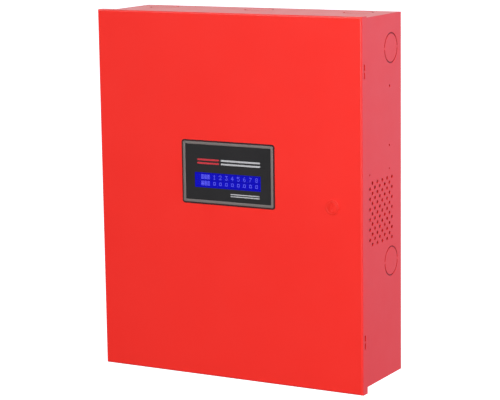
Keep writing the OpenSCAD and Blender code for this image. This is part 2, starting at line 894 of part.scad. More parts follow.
module power_transistors() {
    color("#1c1d1f")
    for (z = transistor_z)
        difference() {
            union() {
                block([sink_x - 4.6, sink_x - 1.4], [face_y - 24, face_y - 9], [z - 5, z + 5]);
                block([sink_x - 1.4, sink_x - 0.01], [face_y - 31, face_y - 9], [z - 5, z + 5]);
                for (leg_z = [z - 2.54, z, z + 2.54])
                    block([sink_x - 3.4, sink_x - 2.6], [face_y - 9 - eps, face_y],
                          [leg_z - 0.4, leg_z + 0.4]);
            }
            rod_x(face_y - 27.5, z, sink_x - 6, sink_x + 1, 1.8);
        }
}

// Two E-shaped halves of ferrite round the winding
module transformer_core() {
    x = transformer_at[0];
    z = transformer_at[1];
    color("#3a3b3e")
    difference() {
        block([x - 24, x + 24], [face_y - 40, face_y - 6], [z - 10, z + 10]);
        for (s = [-1, 1])
            block([x + s * 8, x + s * 17], [face_y - 34, face_y - 12], [z - 11, z + 11]);
    }
}

// Bobbin, winding and the cheeks at its ends
module transformer_winding() {
    x = transformer_at[0];
    z = transformer_at[1];
    color("goldenrod")
    difference() {
        union() {
            block([x - 16.6, x + 16.6], [face_y - 33.6, face_y - 12.4], [z - 17, z + 17]);
            for (s = [-1, 1])
                block([x - 19, x + 19], [face_y - 36, face_y], [z + s * 17, z + s * 20]);
        }
        block([x - 8.05, x + 8.05], [face_y - 35, face_y - 11], [z - 10.1, z + 10.1]);
    }
}

// A can with a rounded rim and a vent cross on its top
module can(x, z, r, h) {
    difference() {
        union() {
            rod_y(x, z, face_y - h + 1, face_y, r);
            rod_y(x, z, face_y - h, face_y, r - 1);
            translate([x, face_y - h + 1, z]) rotate([90, 0, 0])
                rotate_extrude() translate([r - 1, 0]) circle(r = 1, $fn = 24);
        }
        block([x - r * 0.6, x + r * 0.6], [face_y - h - 1, face_y - h + 0.3], [z - 0.25, z + 0.25]);
        block([x - 0.25, x + 0.25], [face_y - h - 1, face_y - h + 0.3], [z - r * 0.6, z + r * 0.6]);
    }
}

module bulk_capacitors() {
    color("#20242c")
    for (c = bulk_cap_at) can(c[0], c[1], bulk_cap_r, bulk_cap_h);
}

module output_capacitors() {
    color("#20242c")
    for (c = output_cap_at) can(c[0], c[1], output_cap_r, output_cap_h);
}

// Toroids lie with their axis along Y, on a base disc
module choke_cores() {
    color("#8c8f45")
    for (c = choke_at) {
        rod_y(c[0], c[1], face_y - 2, face_y, choke_r);
        translate([c[0], face_y - 3.2, c[1]]) rotate([90, 0, 0])
            difference() {
                cylinder(r = choke_r - 2, h = choke_t - 2);
                translate([0, 0, -1]) cylinder(r = choke_hole_r + 2, h = choke_t);
            }
    }
}

// Each toroid's two windings, as half-round bands that wrap the core
module choke_windings() {
    color("chocolate")
    for (c = choke_at, a = [0, 180])
        translate([c[0], face_y - 2.05, c[1]]) rotate([90, 0, 0]) rotate([0, 0, a])
            difference() {
                rotate([0, 0, 15])
                    rotate_extrude(angle = 150)
                        translate([choke_hole_r, 0]) square([choke_r - choke_hole_r, choke_t]);
                translate([0, 0, 1.13]) difference() {
                    cylinder(r = choke_r - 1.98, h = choke_t - 1.96);
                    translate([0, 0, -1]) cylinder(r = choke_hole_r + 1.98, h = choke_t + 2);
                }
            }
}

module suppression_capacitors() {
    color("gold")
    for (c = suppression_at)
        face_plate(c[0] - 13, c[0] + 13, c[1] - 5, c[1] + 5, face_y - 18, face_y, 0.8);
}

module mains_terminals() {
    l = mains_ways * mains_pitch;
    color("#222326")
    difference() {
        block([mains_at[0] - l / 2 - 1, mains_at[0] + l / 2 + 1], [face_y - 16, face_y],
              [mains_at[1] - 8, mains_at[1] + 8]);
        for (k = [0:mains_ways - 1])
            translate([mains_at[0] - l / 2 + k * mains_pitch, 0, 0])
                block([0.8, mains_pitch - 0.8], [face_y - 17, face_y - 9.6],
                      [mains_at[1] - 5, mains_at[1] + 9]);
    }
}

// Spring clips at both ends of the fuse, on a base
module fuse_clips() {
    color("silver")
    for (s = [-1, 1]) {
        x = fuse_at[0] + s * 8.5;
        difference() {
            block([x - 2.5, x + 2.5], [face_y - 9, face_y], [fuse_at[1] - 3.6, fuse_at[1] + 3.6]);
            rod_x(face_y - 6.4, fuse_at[1], x - 4, x + 4, 2.65);
            block([x - 4, x + 4], [face_y - 10, face_y - 6.4], [fuse_at[1] - 1.9, fuse_at[1] + 1.9]);
        }
    }
}

module fuse() {
    color("lightgray") {
        rod_x(face_y - 6.4, fuse_at[1], fuse_at[0] - 10, fuse_at[0] + 10, 2.3);
        for (s = [-1, 1])
            rod_x(face_y - 6.4, fuse_at[1], fuse_at[0] + s * 5, fuse_at[0] + s * 10.5, 2.62);
    }
}

// ---------- Batteries and wiring ----------

// A sealed block battery: case, lid line, and a recess at each terminal
module battery(x0) {
    lid_h = 12;
    groove = 0.6;
    color("#2b2d30")
    difference() {
        face_box(x0, x0 + battery_w, battery_front, battery_y, floor_z, battery_top, 3);
        difference() {
            block([x0 - 1, x0 + battery_w + 1], [battery_front - 1, battery_y + 1],
                  [battery_top - lid_h - groove, battery_top - lid_h]);
            face_box(x0 + groove, x0 + battery_w - groove, battery_front + groove, battery_y - groove,
                     battery_top - lid_h - 2, battery_top - lid_h + 2, 3);
        }
        for (x = [x0 - 1, x0 + battery_w - 2 * post_inset])
            block([x, x + 2 * post_inset + 1], [battery_front - 1, battery_front + 20],
                  [battery_top - 6, battery_top + 1]);
    }
}

// A box with its upright corners rounded
module face_box(x0, x1, y0, y1, z0, z1, r) {
    translate([0, 0, z0])
        linear_extrude(height = z1 - z0)
            round_rect(x0, x1, y0, y1, r);
}

module battery_left() { battery(-battery_gap / 2 - battery_w); }
module battery_right() { battery(battery_gap / 2); }

module battery_posts() {
    color("silver")
    for (x = post_x) {
        block([x - 4.5, x + 4.5], [post_y - 4.5, post_y + 4.5], [post_z, post_z + 2]);
        block([x - 3.15, x + 3.15], [post_y - 0.4, post_y + 0.4], [post_z + 2 - eps, post_z + 14]);
    }
}

// Push-on sockets over the blades
module lead_sockets() {
    color("whitesmoke")
    for (x = post_x)
        difference() {
            union() {
                face_box(x - 4.4, x + 4.4, post_y - 2.6, post_y + 2.6, post_z + 4, post_z + 19, 1);
                rod_z(x, post_y, post_z + 19 - eps, post_z + 23, 2.4);
            }
            block([x - 3.25, x + 3.25], [post_y - 0.5, post_y + 0.5], [post_z + 3, post_z + 14.1]);
            rod_z(x, post_y, socket_z - 0.5, post_z + 24, lead_d / 2 + 0.05);
        }
}

module battery_lead_red() {
    color("crimson") wire(red_route, lead_d);
}

module battery_lead_black() {
    color("#1a1a1a") wire(black_route, lead_d);
}

module battery_link() {
    color("crimson") wire(link_route, lead_d);
}

// A stud with a spacer nut, a ring lug with its crimped barrel, and a nut over them
module earth_stud(at, y0, s) {
    lug_y = y0 + s * lug_offset;
    difference() {
        union() {
            rod_y(at[0], at[1], y0, y0 + s * 12, 2);
            hex_y(at[0], at[1], y0, y0 + s * 3.2, 7);
            rod_y(at[0], at[1], y0 + s * 3.2, y0 + s * 4, 4.2);
            hex_y(at[0], at[1], y0 + s * 4, y0 + s * 7.2, 7);
            rod_x(lug_y, at[1], at[0] - lug_l, at[0] - 3.5, earth_d / 2 + 0.7);
        }
        rod_x(lug_y, at[1], at[0] - lug_l - 1, at[0] - lug_l + 4, earth_d / 2 + 0.05);
    }
}

module door_earth_stud() {
    color("gold") earth_stud(earth_door_at, skin_y, 1);
}

module box_earth_stud() {
    color("gold") earth_stud(earth_box_at, back_y, -1);
}

module earth_wire() {
    color("limegreen") wire(earth_route, earth_d);
}

// Two-way plugs on both boards, and the pair of wires between them
module supply_plugs() {
    color("whitesmoke")
    for (x = supply_x)
        difference() {
            block([x - 3.2, x + 3.2], [face_y - 6, face_y], [96 - 3.2, 96 + supply_pitch + 3.2]);
            for (k = [0:1]) rod_y(x, 96 + k * supply_pitch, face_y - 7, face_y - 4, supply_d / 2 + 0.05);
        }
}

module supply_wires() {
    color("crimson")
    for (k = [0:1])
        translate([0, 0, k * supply_pitch]) wire(supply_route, supply_d);
}

// ---------- Nodes ----------

backbox();
front_door();
hinge_leaf_box();
hinge_leaf_door();
hinge_pin();
display_bezel();
display_overlay();
display_window();
lcd_glass();
lcd_frame();
lcd_board();
display_studs();
display_nuts();
display_plug();
ribbon_cable();
board_plug();
latch_body();
latch_nut();
latch_core();
latch_cam();
latch_screw();
logic_board();
relays();
logic_chips();
output_lamps();
power_lamp();
terminal_blocks();
terminal_screws();
switch_bases();
button_menu();
button_up();
button_down();
power_board();
board_standoffs();
board_screws();
heat_sink();
power_transistors();
transformer_core();
transformer_winding();
bulk_capacitors();
output_capacitors();
choke_cores();
choke_windings();
suppression_capacitors();
mains_terminals();
fuse_clips();
fuse();
battery_left();
battery_right();
battery_posts();
lead_sockets();
battery_lead_red();
battery_lead_black();
battery_link();
door_earth_stud();
box_earth_stud();
earth_wire();
supply_plugs();
supply_wires();
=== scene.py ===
"""Wall-mounted alarm control panel: a red powder-coated cabinet with a pan door, a two-row display, a
quarter-turn latch, and inside it two circuit boards, two batteries and their wiring. Lengths are metres, in
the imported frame."""

import json
import math

import bmesh
import bpy
from mathutils import Matrix, Vector

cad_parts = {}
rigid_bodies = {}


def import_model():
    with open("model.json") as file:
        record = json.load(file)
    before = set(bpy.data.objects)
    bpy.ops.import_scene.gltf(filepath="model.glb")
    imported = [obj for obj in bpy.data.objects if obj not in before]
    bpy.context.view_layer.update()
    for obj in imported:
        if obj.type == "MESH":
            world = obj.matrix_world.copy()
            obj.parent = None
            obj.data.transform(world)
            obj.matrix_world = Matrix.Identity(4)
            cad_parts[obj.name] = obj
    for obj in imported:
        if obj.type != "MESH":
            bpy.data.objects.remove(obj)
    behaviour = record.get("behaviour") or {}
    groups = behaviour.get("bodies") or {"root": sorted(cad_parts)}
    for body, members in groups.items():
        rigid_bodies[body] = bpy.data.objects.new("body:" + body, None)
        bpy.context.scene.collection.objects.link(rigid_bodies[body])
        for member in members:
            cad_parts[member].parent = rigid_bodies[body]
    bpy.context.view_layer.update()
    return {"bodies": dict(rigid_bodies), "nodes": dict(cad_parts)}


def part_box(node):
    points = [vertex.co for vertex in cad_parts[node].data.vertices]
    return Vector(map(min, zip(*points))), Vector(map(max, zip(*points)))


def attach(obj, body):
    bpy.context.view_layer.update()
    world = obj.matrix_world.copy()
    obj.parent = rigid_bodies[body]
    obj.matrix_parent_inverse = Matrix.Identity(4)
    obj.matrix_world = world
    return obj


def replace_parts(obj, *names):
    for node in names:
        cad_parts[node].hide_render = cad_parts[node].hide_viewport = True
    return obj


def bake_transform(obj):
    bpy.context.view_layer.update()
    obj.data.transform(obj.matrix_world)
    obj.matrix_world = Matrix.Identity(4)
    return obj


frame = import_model()

MM = 0.001
SHARP_ANGLE = math.radians(40)
WELD_DISTANCE = 0.002 * MM
FLAT_ANGLE = math.radians(1.5)
nodes = frame["nodes"]


# ---------------------------------------------------------------- helpers


def node(tree, kind, inputs=None, to=None, **settings):
    """Adds a node. Each input, by name or number, takes a value, a socket, or a node that stands for its
    first live output. to is the socket that this node's first live output goes into."""
    made = tree.nodes.new(kind)
    for name, value in settings.items():
        setattr(made, name, value)
    for key, value in (inputs or {}).items():
        if isinstance(value, bpy.types.Node):
            value = next(s for s in value.outputs if s.enabled)
        if isinstance(value, bpy.types.NodeSocket):
            tree.links.new(value, made.inputs[key])
        else:
            made.inputs[key].default_value = value
    if to is not None:
        tree.links.new(next(s for s in made.outputs if s.enabled), to)
    return made


def linear(code, alpha=1.0):
    """An sRGB hex colour as the linear values that a shader takes."""
    channels = [int(code[i : i + 2], 16) / 255 for i in (1, 3, 5)]
    bent = [c / 12.92 if c <= 0.04045 else ((c + 0.055) / 1.055) ** 2.4 for c in channels]
    return (*bent, alpha)


def per_mm(size_mm):
    """The scale at which a texture's features are size_mm across, on coordinates in metres."""
    return 1000.0 / size_mm


def body_of(name):
    """The CAD body that a CAD node rides on."""
    return next(body for body, empty in frame["bodies"].items() if nodes[name].parent == empty)


def from_bmesh(name, bm, angle=28.0):
    """A mesh that faces outwards, shaded smooth apart from its edges sharper than angle."""
    mesh = bpy.data.meshes.new(name)
    bmesh.ops.recalc_face_normals(bm, faces=bm.faces)
    bm.to_mesh(mesh)
    bm.free()
    mesh.shade_smooth()
    mesh.set_sharp_from_angle(angle=math.radians(angle))
    return mesh


def keep(name, mesh, body, finish=None):
    """Makes mesh a piece of the model that rides on body. A piece with no body is left on none."""
    piece = bpy.data.objects.new(name, mesh)
    bpy.context.collection.objects.link(piece)
    if finish:
        mesh.materials.clear()
        mesh.materials.append(finish)
    if body:
        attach(piece, body)
    return piece


def stand_in(name, mesh, node_name, finish):
    """A piece that takes a CAD node's place and its body, with the finish given."""
    piece = keep(name, mesh, body_of(node_name), finish)
    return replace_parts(piece, node_name)


def merged(name):
    """A CAD node's shape as one merged mesh, with its flat faces whole."""
    bm = bmesh.new()
    bm.from_mesh(nodes[name].data)
    bmesh.ops.remove_doubles(bm, verts=bm.verts, dist=WELD_DISTANCE)
    bmesh.ops.dissolve_limit(bm, angle_limit=FLAT_ANGLE, verts=bm.verts, edges=bm.edges)
    return bm


def solids(name):
    """The (lowest corner, highest corner) of each separate solid in a CAD node."""
    bm = merged(name)
    left = set(bm.verts)
    found = []
    while left:
        reached = [left.pop()]
        solid = []
        while reached:
            corner = reached.pop()
            solid.append(corner.co.copy())
            near = [edge.other_vert(corner) for edge in corner.link_edges]
            fresh = [v for v in near if v in left]
            left.difference_update(fresh)
            reached += fresh
        axes = list(zip(*solid))
        found.append((Vector(map(min, axes)), Vector(map(max, axes))))
    bm.free()
    return sorted(found, key=lambda box: tuple(box[0]))


def add_block(bm, low, high):
    """Adds a box between two corners."""
    made = bmesh.ops.create_cube(bm, size=1.0)["verts"]
    size = Vector(high) - Vector(low)
    middle = (Vector(high) + Vector(low)) / 2
    for v in made:
        v.co = Vector(c * s for c, s in zip(v.co, size)) + middle


def add_bands(bm, rings):
    """Joins each ring of corners to the next one with a band of faces."""
    for near, far in zip(rings, rings[1:]):
        for k in range(len(near)):
            n = (k + 1) % len(near)
            bm.faces.new([near[k], near[n], far[n], far[k]])


def add_turned(bm, centre, axis, profile, sides=32):
    """Adds a solid turned about the line from centre along axis. profile gives each ring's (radius,
    distance along the axis), and both ends are closed. The attribute "round" runs from 0 to 1 round it."""
    axis = Vector(axis)
    side = axis.orthogonal().normalized()
    other = axis.cross(side)
    share = bm.verts.layers.float.get("round") or bm.verts.layers.float.new("round")
    rings = []
    for radius, along in profile:
        ring = []
        for k in range(sides):
            turn = 2 * math.pi * k / sides
            spoke = math.cos(turn) * side + math.sin(turn) * other
            v = bm.verts.new(Vector(centre) + along * axis + radius * spoke)
            v[share] = k / sides
            ring.append(v)
        rings.append(ring)
    add_bands(bm, rings)
    bm.faces.new(list(reversed(rings[0])))
    bm.faces.new(rings[-1])


def dome_profile(radius, rise, foot_height=0.0):
    """The rings of a dome for add_turned, from its foot up to just below its crown."""
    turns = [math.radians(a) for a in range(0, 90, 15)]
    return [(radius * math.cos(turn), foot_height + rise * math.sin(turn)) for turn in turns]


# ---------------------------------------------------------------- finishes


def surface(name, colour, rough=0.5, metallic=0.0, **sockets):
    """A material with one Principled shader, its tree, that shader, and the object's own coordinates in
    metres."""
    material = bpy.data.materials.new(name)
    material.use_nodes = True
    tree = material.node_tree
    tree.nodes.clear()
    plain = {"Base Color": linear(colour), "Roughness": rough, "Metallic": metallic}
    shader = node(tree, "ShaderNodeBsdfPrincipled", plain)
    for socket, value in sockets.items():
        shader.inputs[socket.replace("_", " ")].default_value = value
    node(tree, "ShaderNodeOutputMaterial", {"Surface": shader})
    return material, tree, shader, node(tree, "ShaderNodeTexCoord").outputs["Object"]


def mottle(tree, shader, place, size_mm, first, second, detail=2.0, socket="Base Color"):
    """Lets a colour wander between two, in clouds about size_mm across, and returns the clouds."""
    clouds = node(tree, "ShaderNodeTexNoise", {"Vector": place, "Scale": per_mm(size_mm), "Detail": detail})
    colours = {0: clouds, 6: linear(first), 7: linear(second)}
    node(tree, "ShaderNodeMix", colours, shader.inputs[socket], data_type="RGBA")
    return clouds


def powder_coat(name, deep, light, rough):
    """Polyester powder coat baked on steel: a semi-gloss with a fine orange peel, and a colour that drifts
    a little where the coat is thicker."""
    material, tree, shader, place = surface(name, deep, rough)
    mottle(tree, shader, place, 110, deep, light, 3.0)
    sheen = node(tree, "ShaderNodeTexNoise", {"Vector": place, "Scale": per_mm(25), "Detail": 2.0})
    levels = {"Value": sheen, "To Min": rough - 0.06, "To Max": rough + 0.06}
    node(tree, "ShaderNodeMapRange", levels, shader.inputs["Roughness"])
    # The real peel is about 1 mm across and is drawn at 1.8 mm, the finest that shows
    peel = node(tree, "ShaderNodeTexNoise", {"Vector": place, "Scale": per_mm(1.8), "Detail": 2.0})
    bump = {"Height": peel, "Strength": 0.14, "Distance": 0.06 * MM}
    node(tree, "ShaderNodeBump", bump, shader.inputs["Normal"])
    return material


def zinc_plate(name):
    """Bright zinc plating on rolled steel: patchy sheen, with fine lines along the rolling direction."""
    material, tree, shader, place = surface(name, "#b8bbbe", 0.32, 1.0)
    patch = mottle(tree, shader, place, 12, "#9ea2a6", "#cfd1d2", 4.0)
    levels = {"Value": patch, "To Min": 0.22, "To Max": 0.46}
    node(tree, "ShaderNodeMapRange", levels, shader.inputs["Roughness"])
    drawn = node(tree, "ShaderNodeMapping", {"Vector": place, "Scale": (1.0, 1.0, 0.08)})
    lines = node(tree, "ShaderNodeTexNoise", {"Vector": drawn, "Scale": per_mm(0.8), "Detail": 2.0})
    bump = {"Height": lines, "Strength": 0.15, "Distance": 0.03 * MM}
    node(tree, "ShaderNodeBump", bump, shader.inputs["Normal"])
    return material


def moulding(name, colour, shade, rough, grain_mm=0.6, depth_mm=0.03):
    """An injection-moulded plastic: an even colour, with the fine grain that its spark-eroded tool leaves."""
    material, tree, shader, place = surface(name, colour, rough)
    cloud = mottle(tree, shader, place, 9, colour, shade, 3.0)
    levels = {"Value": cloud, "To Min": rough - 0.08, "To Max": rough + 0.08}
    node(tree, "ShaderNodeMapRange", levels, shader.inputs["Roughness"])
    values = {"Vector": place, "Scale": per_mm(grain_mm), "Detail": 3.0, "Roughness": 0.65}
    grain = node(tree, "ShaderNodeTexNoise", values)
    bump = {"Height": grain, "Strength": 0.35, "Distance": depth_mm * MM}
    node(tree, "ShaderNodeBump", bump, shader.inputs["Normal"])
    return material


def printed_film(name):
    """Polycarbonate film printed on its back in near-black ink, with a satin, finely textured face."""
    material, tree, shader, place = surface(name, "#2a2a2b", 0.34)
    mottle(tree, shader, place, 40, "#232324", "#2c2b2c")
    grain = node(tree, "ShaderNodeTexNoise", {"Vector": place, "Scale": per_mm(0.5), "Detail": 2.0})
    bump = {"Height": grain, "Strength": 0.12, "Distance": 0.02 * MM}
    node(tree, "ShaderNodeBump", bump, shader.inputs["Normal"])
    return material


def clear_sheet(name, tint, index):
    """Cast acrylic or drawn glass: clear and glossy, with the faintest waviness."""
    material, tree, shader, place = surface(name, tint, 0.03, IOR=index, Transmission_Weight=1.0)
    wave = node(tree, "ShaderNodeTexNoise", {"Vector": place, "Scale": per_mm(20), "Detail": 1.0})
    bump = {"Height": wave, "Strength": 0.05, "Distance": 0.02 * MM}
    node(tree, "ShaderNodeBump", bump, shader.inputs["Normal"])
    return material


def backlit_crystal(name, ground, cell, strength):
    """Blue liquid-crystal glass lit from behind, in which the unlit cell of each character just shows."""
    material, tree, shader, place = surface(name, "#040308", 0.2, Emission_Strength=strength)
    scale = (1 / CHAR_PITCH, 1.0, 1 / ROW_PITCH)
    start = (0.5 - char_x0 / CHAR_PITCH, 0.0, -row_z / ROW_PITCH)
    cells = node(tree, "ShaderNodeMapping", {"Vector": place, "Scale": scale, "Location": start})
    split = node(tree, "ShaderNodeSeparateXYZ", {"Vector": cells})
    # Each unlit cell covers the middle of its pitch, up to this share of it on either side
    half_cell = 0.41
    inside = 1.0
    for axis in ("X", "Z"):
        part = node(tree, "ShaderNodeMath", {0: split.outputs[axis]}, operation="FRACT")
        off = node(tree, "ShaderNodeMath", {0: part, 1: 0.5}, operation="SUBTRACT")
        size = node(tree, "ShaderNodeMath", {0: off}, operation="ABSOLUTE")
        within = node(tree, "ShaderNodeMath", {0: size, 1: half_cell}, operation="LESS_THAN")
        inside = node(tree, "ShaderNodeMath", {0: within, 1: inside}, operation="MULTIPLY")
    colours = {0: inside, 6: linear(ground), 7: linear(cell)}
    node(tree, "ShaderNodeMix", colours, shader.inputs["Emission Color"], data_type="RGBA")
    return material


def lit_crystal(name, dim, bright, strength):
    """A display cell that is switched on: it lets the backlight through, a little unevenly."""
    material, tree, shader, place = surface(name, "#2a2a70", 0.3, Emission_Strength=strength)
    mottle(tree, shader, place, 6, dim, bright, 1.0, "Emission Color")
    return material


def solder_mask(name, mask, over_copper, shade):
    """Green solder mask on glass-epoxy board: runs of straight copper tracks show lighter and stand a
    little proud, between open areas."""
    material, tree, shader, place = surface(name, mask, 0.3)
    flat = node(tree, "ShaderNodeSeparateXYZ", {"Vector": place})
    tracked_above = 0.52
    tracks = 0.0
    for first, second, length_mm, gap_mm in (("X", "Z", 23.0, 2.54), ("Z", "X", 31.0, 3.81)):
        on_face = node(tree, "ShaderNodeCombineXYZ", {0: flat.outputs[first], 1: flat.outputs[second]})
        bricks = {"Vector": on_face, "Scale": 1000.0, "Mortar Size": 0.28, "Mortar Smooth": 0.05}
        bricks |= {"Brick Width": length_mm, "Row Height": gap_mm, "Bias": 0.0}
        runs = node(tree, "ShaderNodeTexBrick", bricks, offset=0.37).outputs["Fac"]
        area = node(tree, "ShaderNodeTexNoise", {"Vector": place, "Scale": per_mm(length_mm), "Detail": 0.0})
        here = node(tree, "ShaderNodeMath", {0: area, 1: tracked_above}, operation="GREATER_THAN")
        both = node(tree, "ShaderNodeMath", {0: runs, 1: here}, operation="MULTIPLY")
        tracks = node(tree, "ShaderNodeMath", {0: both, 1: tracks}, operation="MAXIMUM")
    cloud = node(tree, "ShaderNodeTexNoise", {"Vector": place, "Scale": per_mm(30), "Detail": 3.0})
    ground = node(tree, "ShaderNodeMix", {0: cloud, 6: linear(mask), 7: linear(shade)}, data_type="RGBA")
    colours = {0: tracks, 6: ground, 7: linear(over_copper)}
    node(tree, "ShaderNodeMix", colours, shader.inputs["Base Color"], data_type="RGBA")
    bump = {"Height": tracks, "Strength": 0.5, "Distance": 0.05 * MM}
    node(tree, "ShaderNodeBump", bump, shader.inputs["Normal"])
    return material


def bright_metal(name, dull, bright, low, high, lines=(1.0, 1.0, 1.0), line_mm=1.0):
    """Tinned, turned or extruded metal: clean, with a sheen that varies and tool lines drawn out along
    lines."""
    material, tree, shader, place = surface(name, bright, low, 1.0)
    mottle(tree, shader, place, 4, dull, bright, 3.0)
    drawn = node(tree, "ShaderNodeMapping", {"Vector": place, "Scale": lines})
    marks = node(tree, "ShaderNodeTexNoise", {"Vector": drawn, "Scale": per_mm(line_mm), "Detail": 2.0})
    levels = {"Value": marks, "To Min": low, "To Max": high}
    node(tree, "ShaderNodeMapRange", levels, shader.inputs["Roughness"])
    bump = {"Height": marks, "Strength": 0.25, "Distance": 0.04 * MM}
    node(tree, "ShaderNodeBump", bump, shader.inputs["Normal"])
    return material


def enamelled_copper(name):
    """Copper winding wire under clear enamel: warm metal with a glossy coat."""
    material, tree, shader, place = surface(name, "#b4602b", 0.3, 1.0, Coat_Weight=0.6, Coat_Roughness=0.1)
    mottle(tree, shader, place, 3, "#984a1c", "#cf7a40")
    return material


def sintered(name, colour, shade):
    """Powder that is pressed and fired: dull, with fine pits."""
    material, tree, shader, place = surface(name, colour, 0.6)
    values = {"Vector": place, "Scale": per_mm(0.8), "Detail": 4.0, "Roughness": 0.7}
    pits = node(tree, "ShaderNodeTexNoise", values)
    colours = {0: pits, 6: linear(colour), 7: linear(shade)}
    node(tree, "ShaderNodeMix", colours, shader.inputs["Base Color"], data_type="RGBA")
    bump = {"Height": pits, "Strength": 0.6, "Distance": 0.06 * MM}
    node(tree, "ShaderNodeBump", bump, shader.inputs["Normal"])
    return material


def striped(name, colour, stripe, share, rough, wave_mm):
    """Striped PVC or shrink sleeve: semi-gloss and slightly wavy, with a stripe over a share of the way
    round."""
    material, tree, shader, place = surface(name, colour, rough)
    turn = node(tree, "ShaderNodeAttribute", attribute_name="round").outputs["Fac"]
    on = node(tree, "ShaderNodeMath", {0: turn, 1: share}, operation="LESS_THAN")
    wave = node(tree, "ShaderNodeTexNoise", {"Vector": place, "Scale": per_mm(wave_mm), "Detail": 2.0})
    colours = {0: on, 6: linear(colour), 7: linear(stripe)}
    node(tree, "ShaderNodeMix", colours, shader.inputs["Base Color"], data_type="RGBA")
    bump = {"Height": wave, "Strength": 0.2, "Distance": 0.05 * MM}
    node(tree, "ShaderNodeBump", bump, shader.inputs["Normal"])
    return material


def jacket(name, colour, shade):
    """Extruded PVC of one colour: semi-gloss, slightly wavy, and a little paler where it has been bent and
    rubbed."""
    material, tree, shader, place = surface(name, colour, 0.36)
    wave = mottle(tree, shader, place, 3, colour, shade)
    bump = {"Height": wave, "Strength": 0.2, "Distance": 0.05 * MM}
    node(tree, "ShaderNodeBump", bump, shader.inputs["Normal"])
    return material


def cast_epoxy(name, colour, shade, glow):
    """A lamp body of tinted cast epoxy: glossy, and lit a little from inside."""
    material, tree, shader, place = surface(name, colour, 0.12, Emission_Strength=glow)
    shader.inputs["Emission Color"].default_value = linear(colour)
    mottle(tree, shader, place, 2, colour, shade, 1.0)
    return material


def winding_tape(name, colour, shade):
    """Polyester tape, 6 mm wide, wound in overlapping turns."""
    material, tree, shader, place = surface(name, colour, 0.3)
    values = {"Vector": place, "Scale": per_mm(6) / 3, "Distortion": 0.4, "Detail": 1.0}
    turns = node(tree, "ShaderNodeTexWave", values, bands_direction="Y", wave_profile="SAW").outputs["Fac"]
    colours = {0: turns, 6: linear(colour), 7: linear(shade)}
    node(tree, "ShaderNodeMix", colours, shader.inputs["Base Color"], data_type="RGBA")
    bump = {"Height": turns, "Strength": 0.5, "Distance": 0.1 * MM}
    node(tree, "ShaderNodeBump", bump, shader.inputs["Normal"])
    return material


# ---------------------------------------------------------------- display layout

window_low, window_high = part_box("display_window")
CHAR_PITCH = 4.236 * MM
ROW_PITCH = 8.0 * MM
DOT_PITCH_X = 0.70 * MM
DOT_PITCH_Z = 0.80 * MM
COLUMNS = 20
char_x0 = (window_low.x + window_high.x) / 2 - (COLUMNS - 1) / 2 * CHAR_PITCH
row_z = (window_low.z + window_high.z) / 2

GLYPHS = {
    "1": ("..#..", ".##..", "..#..", "..#..", "..#..", "..#..", ".###."),
    "2": (".###.", "#...#", "....#", "...#.", "..#..", ".#...", "#####"),
    "3": ("#####", "...#.", "..#..", "...#.", "....#", "#...#", ".###."),
    "4": ("...#.", "..##.", ".#.#.", "#..#.", "#####", "...#.", "...#."),
    "5": ("#####", "#....", "####.", "....#", "....#", "#...#", ".###."),
    "6": ("..##.", ".#...", "#....", "####.", "#...#", "#...#", ".###."),
    "7": ("#####", "....#", "...#.", "..#..", ".#...", ".#...", ".#..."),
    "8": (".###.", "#...#", "#...#", ".###.", "#...#", "#...#", ".###."),
    "block": ("#####", "#.#.#", "#####", "#.#.#", "#####", "#.#.#", "#####"),
    "idle": (".....", "#####", "#...#", "#...#", "#...#", "#####", "....."),
}


# ---------------------------------------------------------------- the finishes of this panel

RED = powder_coat("red_powder_coat", "#ea2a23", "#ef3028", 0.36)
# Painted shade: a dark red for the shadow in the knockouts' grooves
GROOVE_SHADE_RED = powder_coat("painted_groove_shade", "#8a1016", "#98151b", 0.6)
LATCH_RED = powder_coat("latch_red_powder_coat", "#e6281f", "#eb2e24", 0.34)
ZINC = zinc_plate("zinc_plated_steel")
BEZEL_GREY = moulding("textured_grey_abs", "#6a6361", "#746d6a", 0.46)
FILM = printed_film("printed_polycarbonate_film")
ACRYLIC = clear_sheet("cast_acrylic", "#f2f5ff", 1.49)
CRYSTAL = backlit_crystal("backlit_liquid_crystal", "#0804b4", "#0c08c4", 1.0)
LIT_CRYSTAL = lit_crystal("lit_liquid_crystal", "#5a58f4", "#7674ff", 1.0)
INK_WHITE = moulding("white_screen_ink", "#adadb0", "#b7b7ba", 0.5)
INK_RED = moulding("red_screen_ink", "#b92c36", "#c2323c", 0.5)
BLACK_NYLON = moulding("black_moulded_nylon", "#1a1b1d", "#242528", 0.45)
# Painted shade: a maroon-black for the shadow in the gap round the display's bezel
GAP_SHADE_RUBBER = moulding("painted_gap_shade", "#2a1013", "#301417", 0.7, 0.5, 0.05)
CHIP_RESIN = moulding("moulded_chip_resin", "#18191b", "#222326", 0.5, 0.4)
BOARD = solder_mask("green_solder_mask", "#123f24", "#23633a", "#174a2b")
RELAY_BLUE = moulding("blue_relay_case", "#24609e", "#2f70b4", 0.36)
TERMINAL_GREEN = moulding("green_moulded_nylon", "#26783f", "#338b4f", 0.42)
CAP_GREY = moulding("grey_button_cap", "#c3c3bd", "#d2d2cc", 0.4)
NATURAL_NYLON = moulding("natural_nylon", "#d0cdc2", "#dfdcd3", 0.4)
BATTERY_CASE = moulding("battery_case_abs", "#26282b", "#323437", 0.48, 1.2, 0.08)
BOX_YELLOW = moulding("yellow_capacitor_box", "#c99c25", "#dbae35", 0.35)
LAMP_RED = cast_epoxy("red_cast_epoxy", "#b5241b", "#c12c20", 0.1)
LAMP_GREEN = cast_epoxy("green_cast_epoxy", "#48d04b", "#52dc55", 1.2)
ALUMINIUM = bright_metal("mill_finish_aluminium", "#b2b4b6", "#cfd0d1", 0.28, 0.46, (1.0, 1.0, 0.02), 0.7)
TIN = bright_metal("tinned_brass", "#b4b4ae", "#cfcfca", 0.2, 0.4)
BRASS = bright_metal("turned_brass", "#b08d49", "#cdb06c", 0.2, 0.38, (1.0, 0.1, 1.0), 0.6)
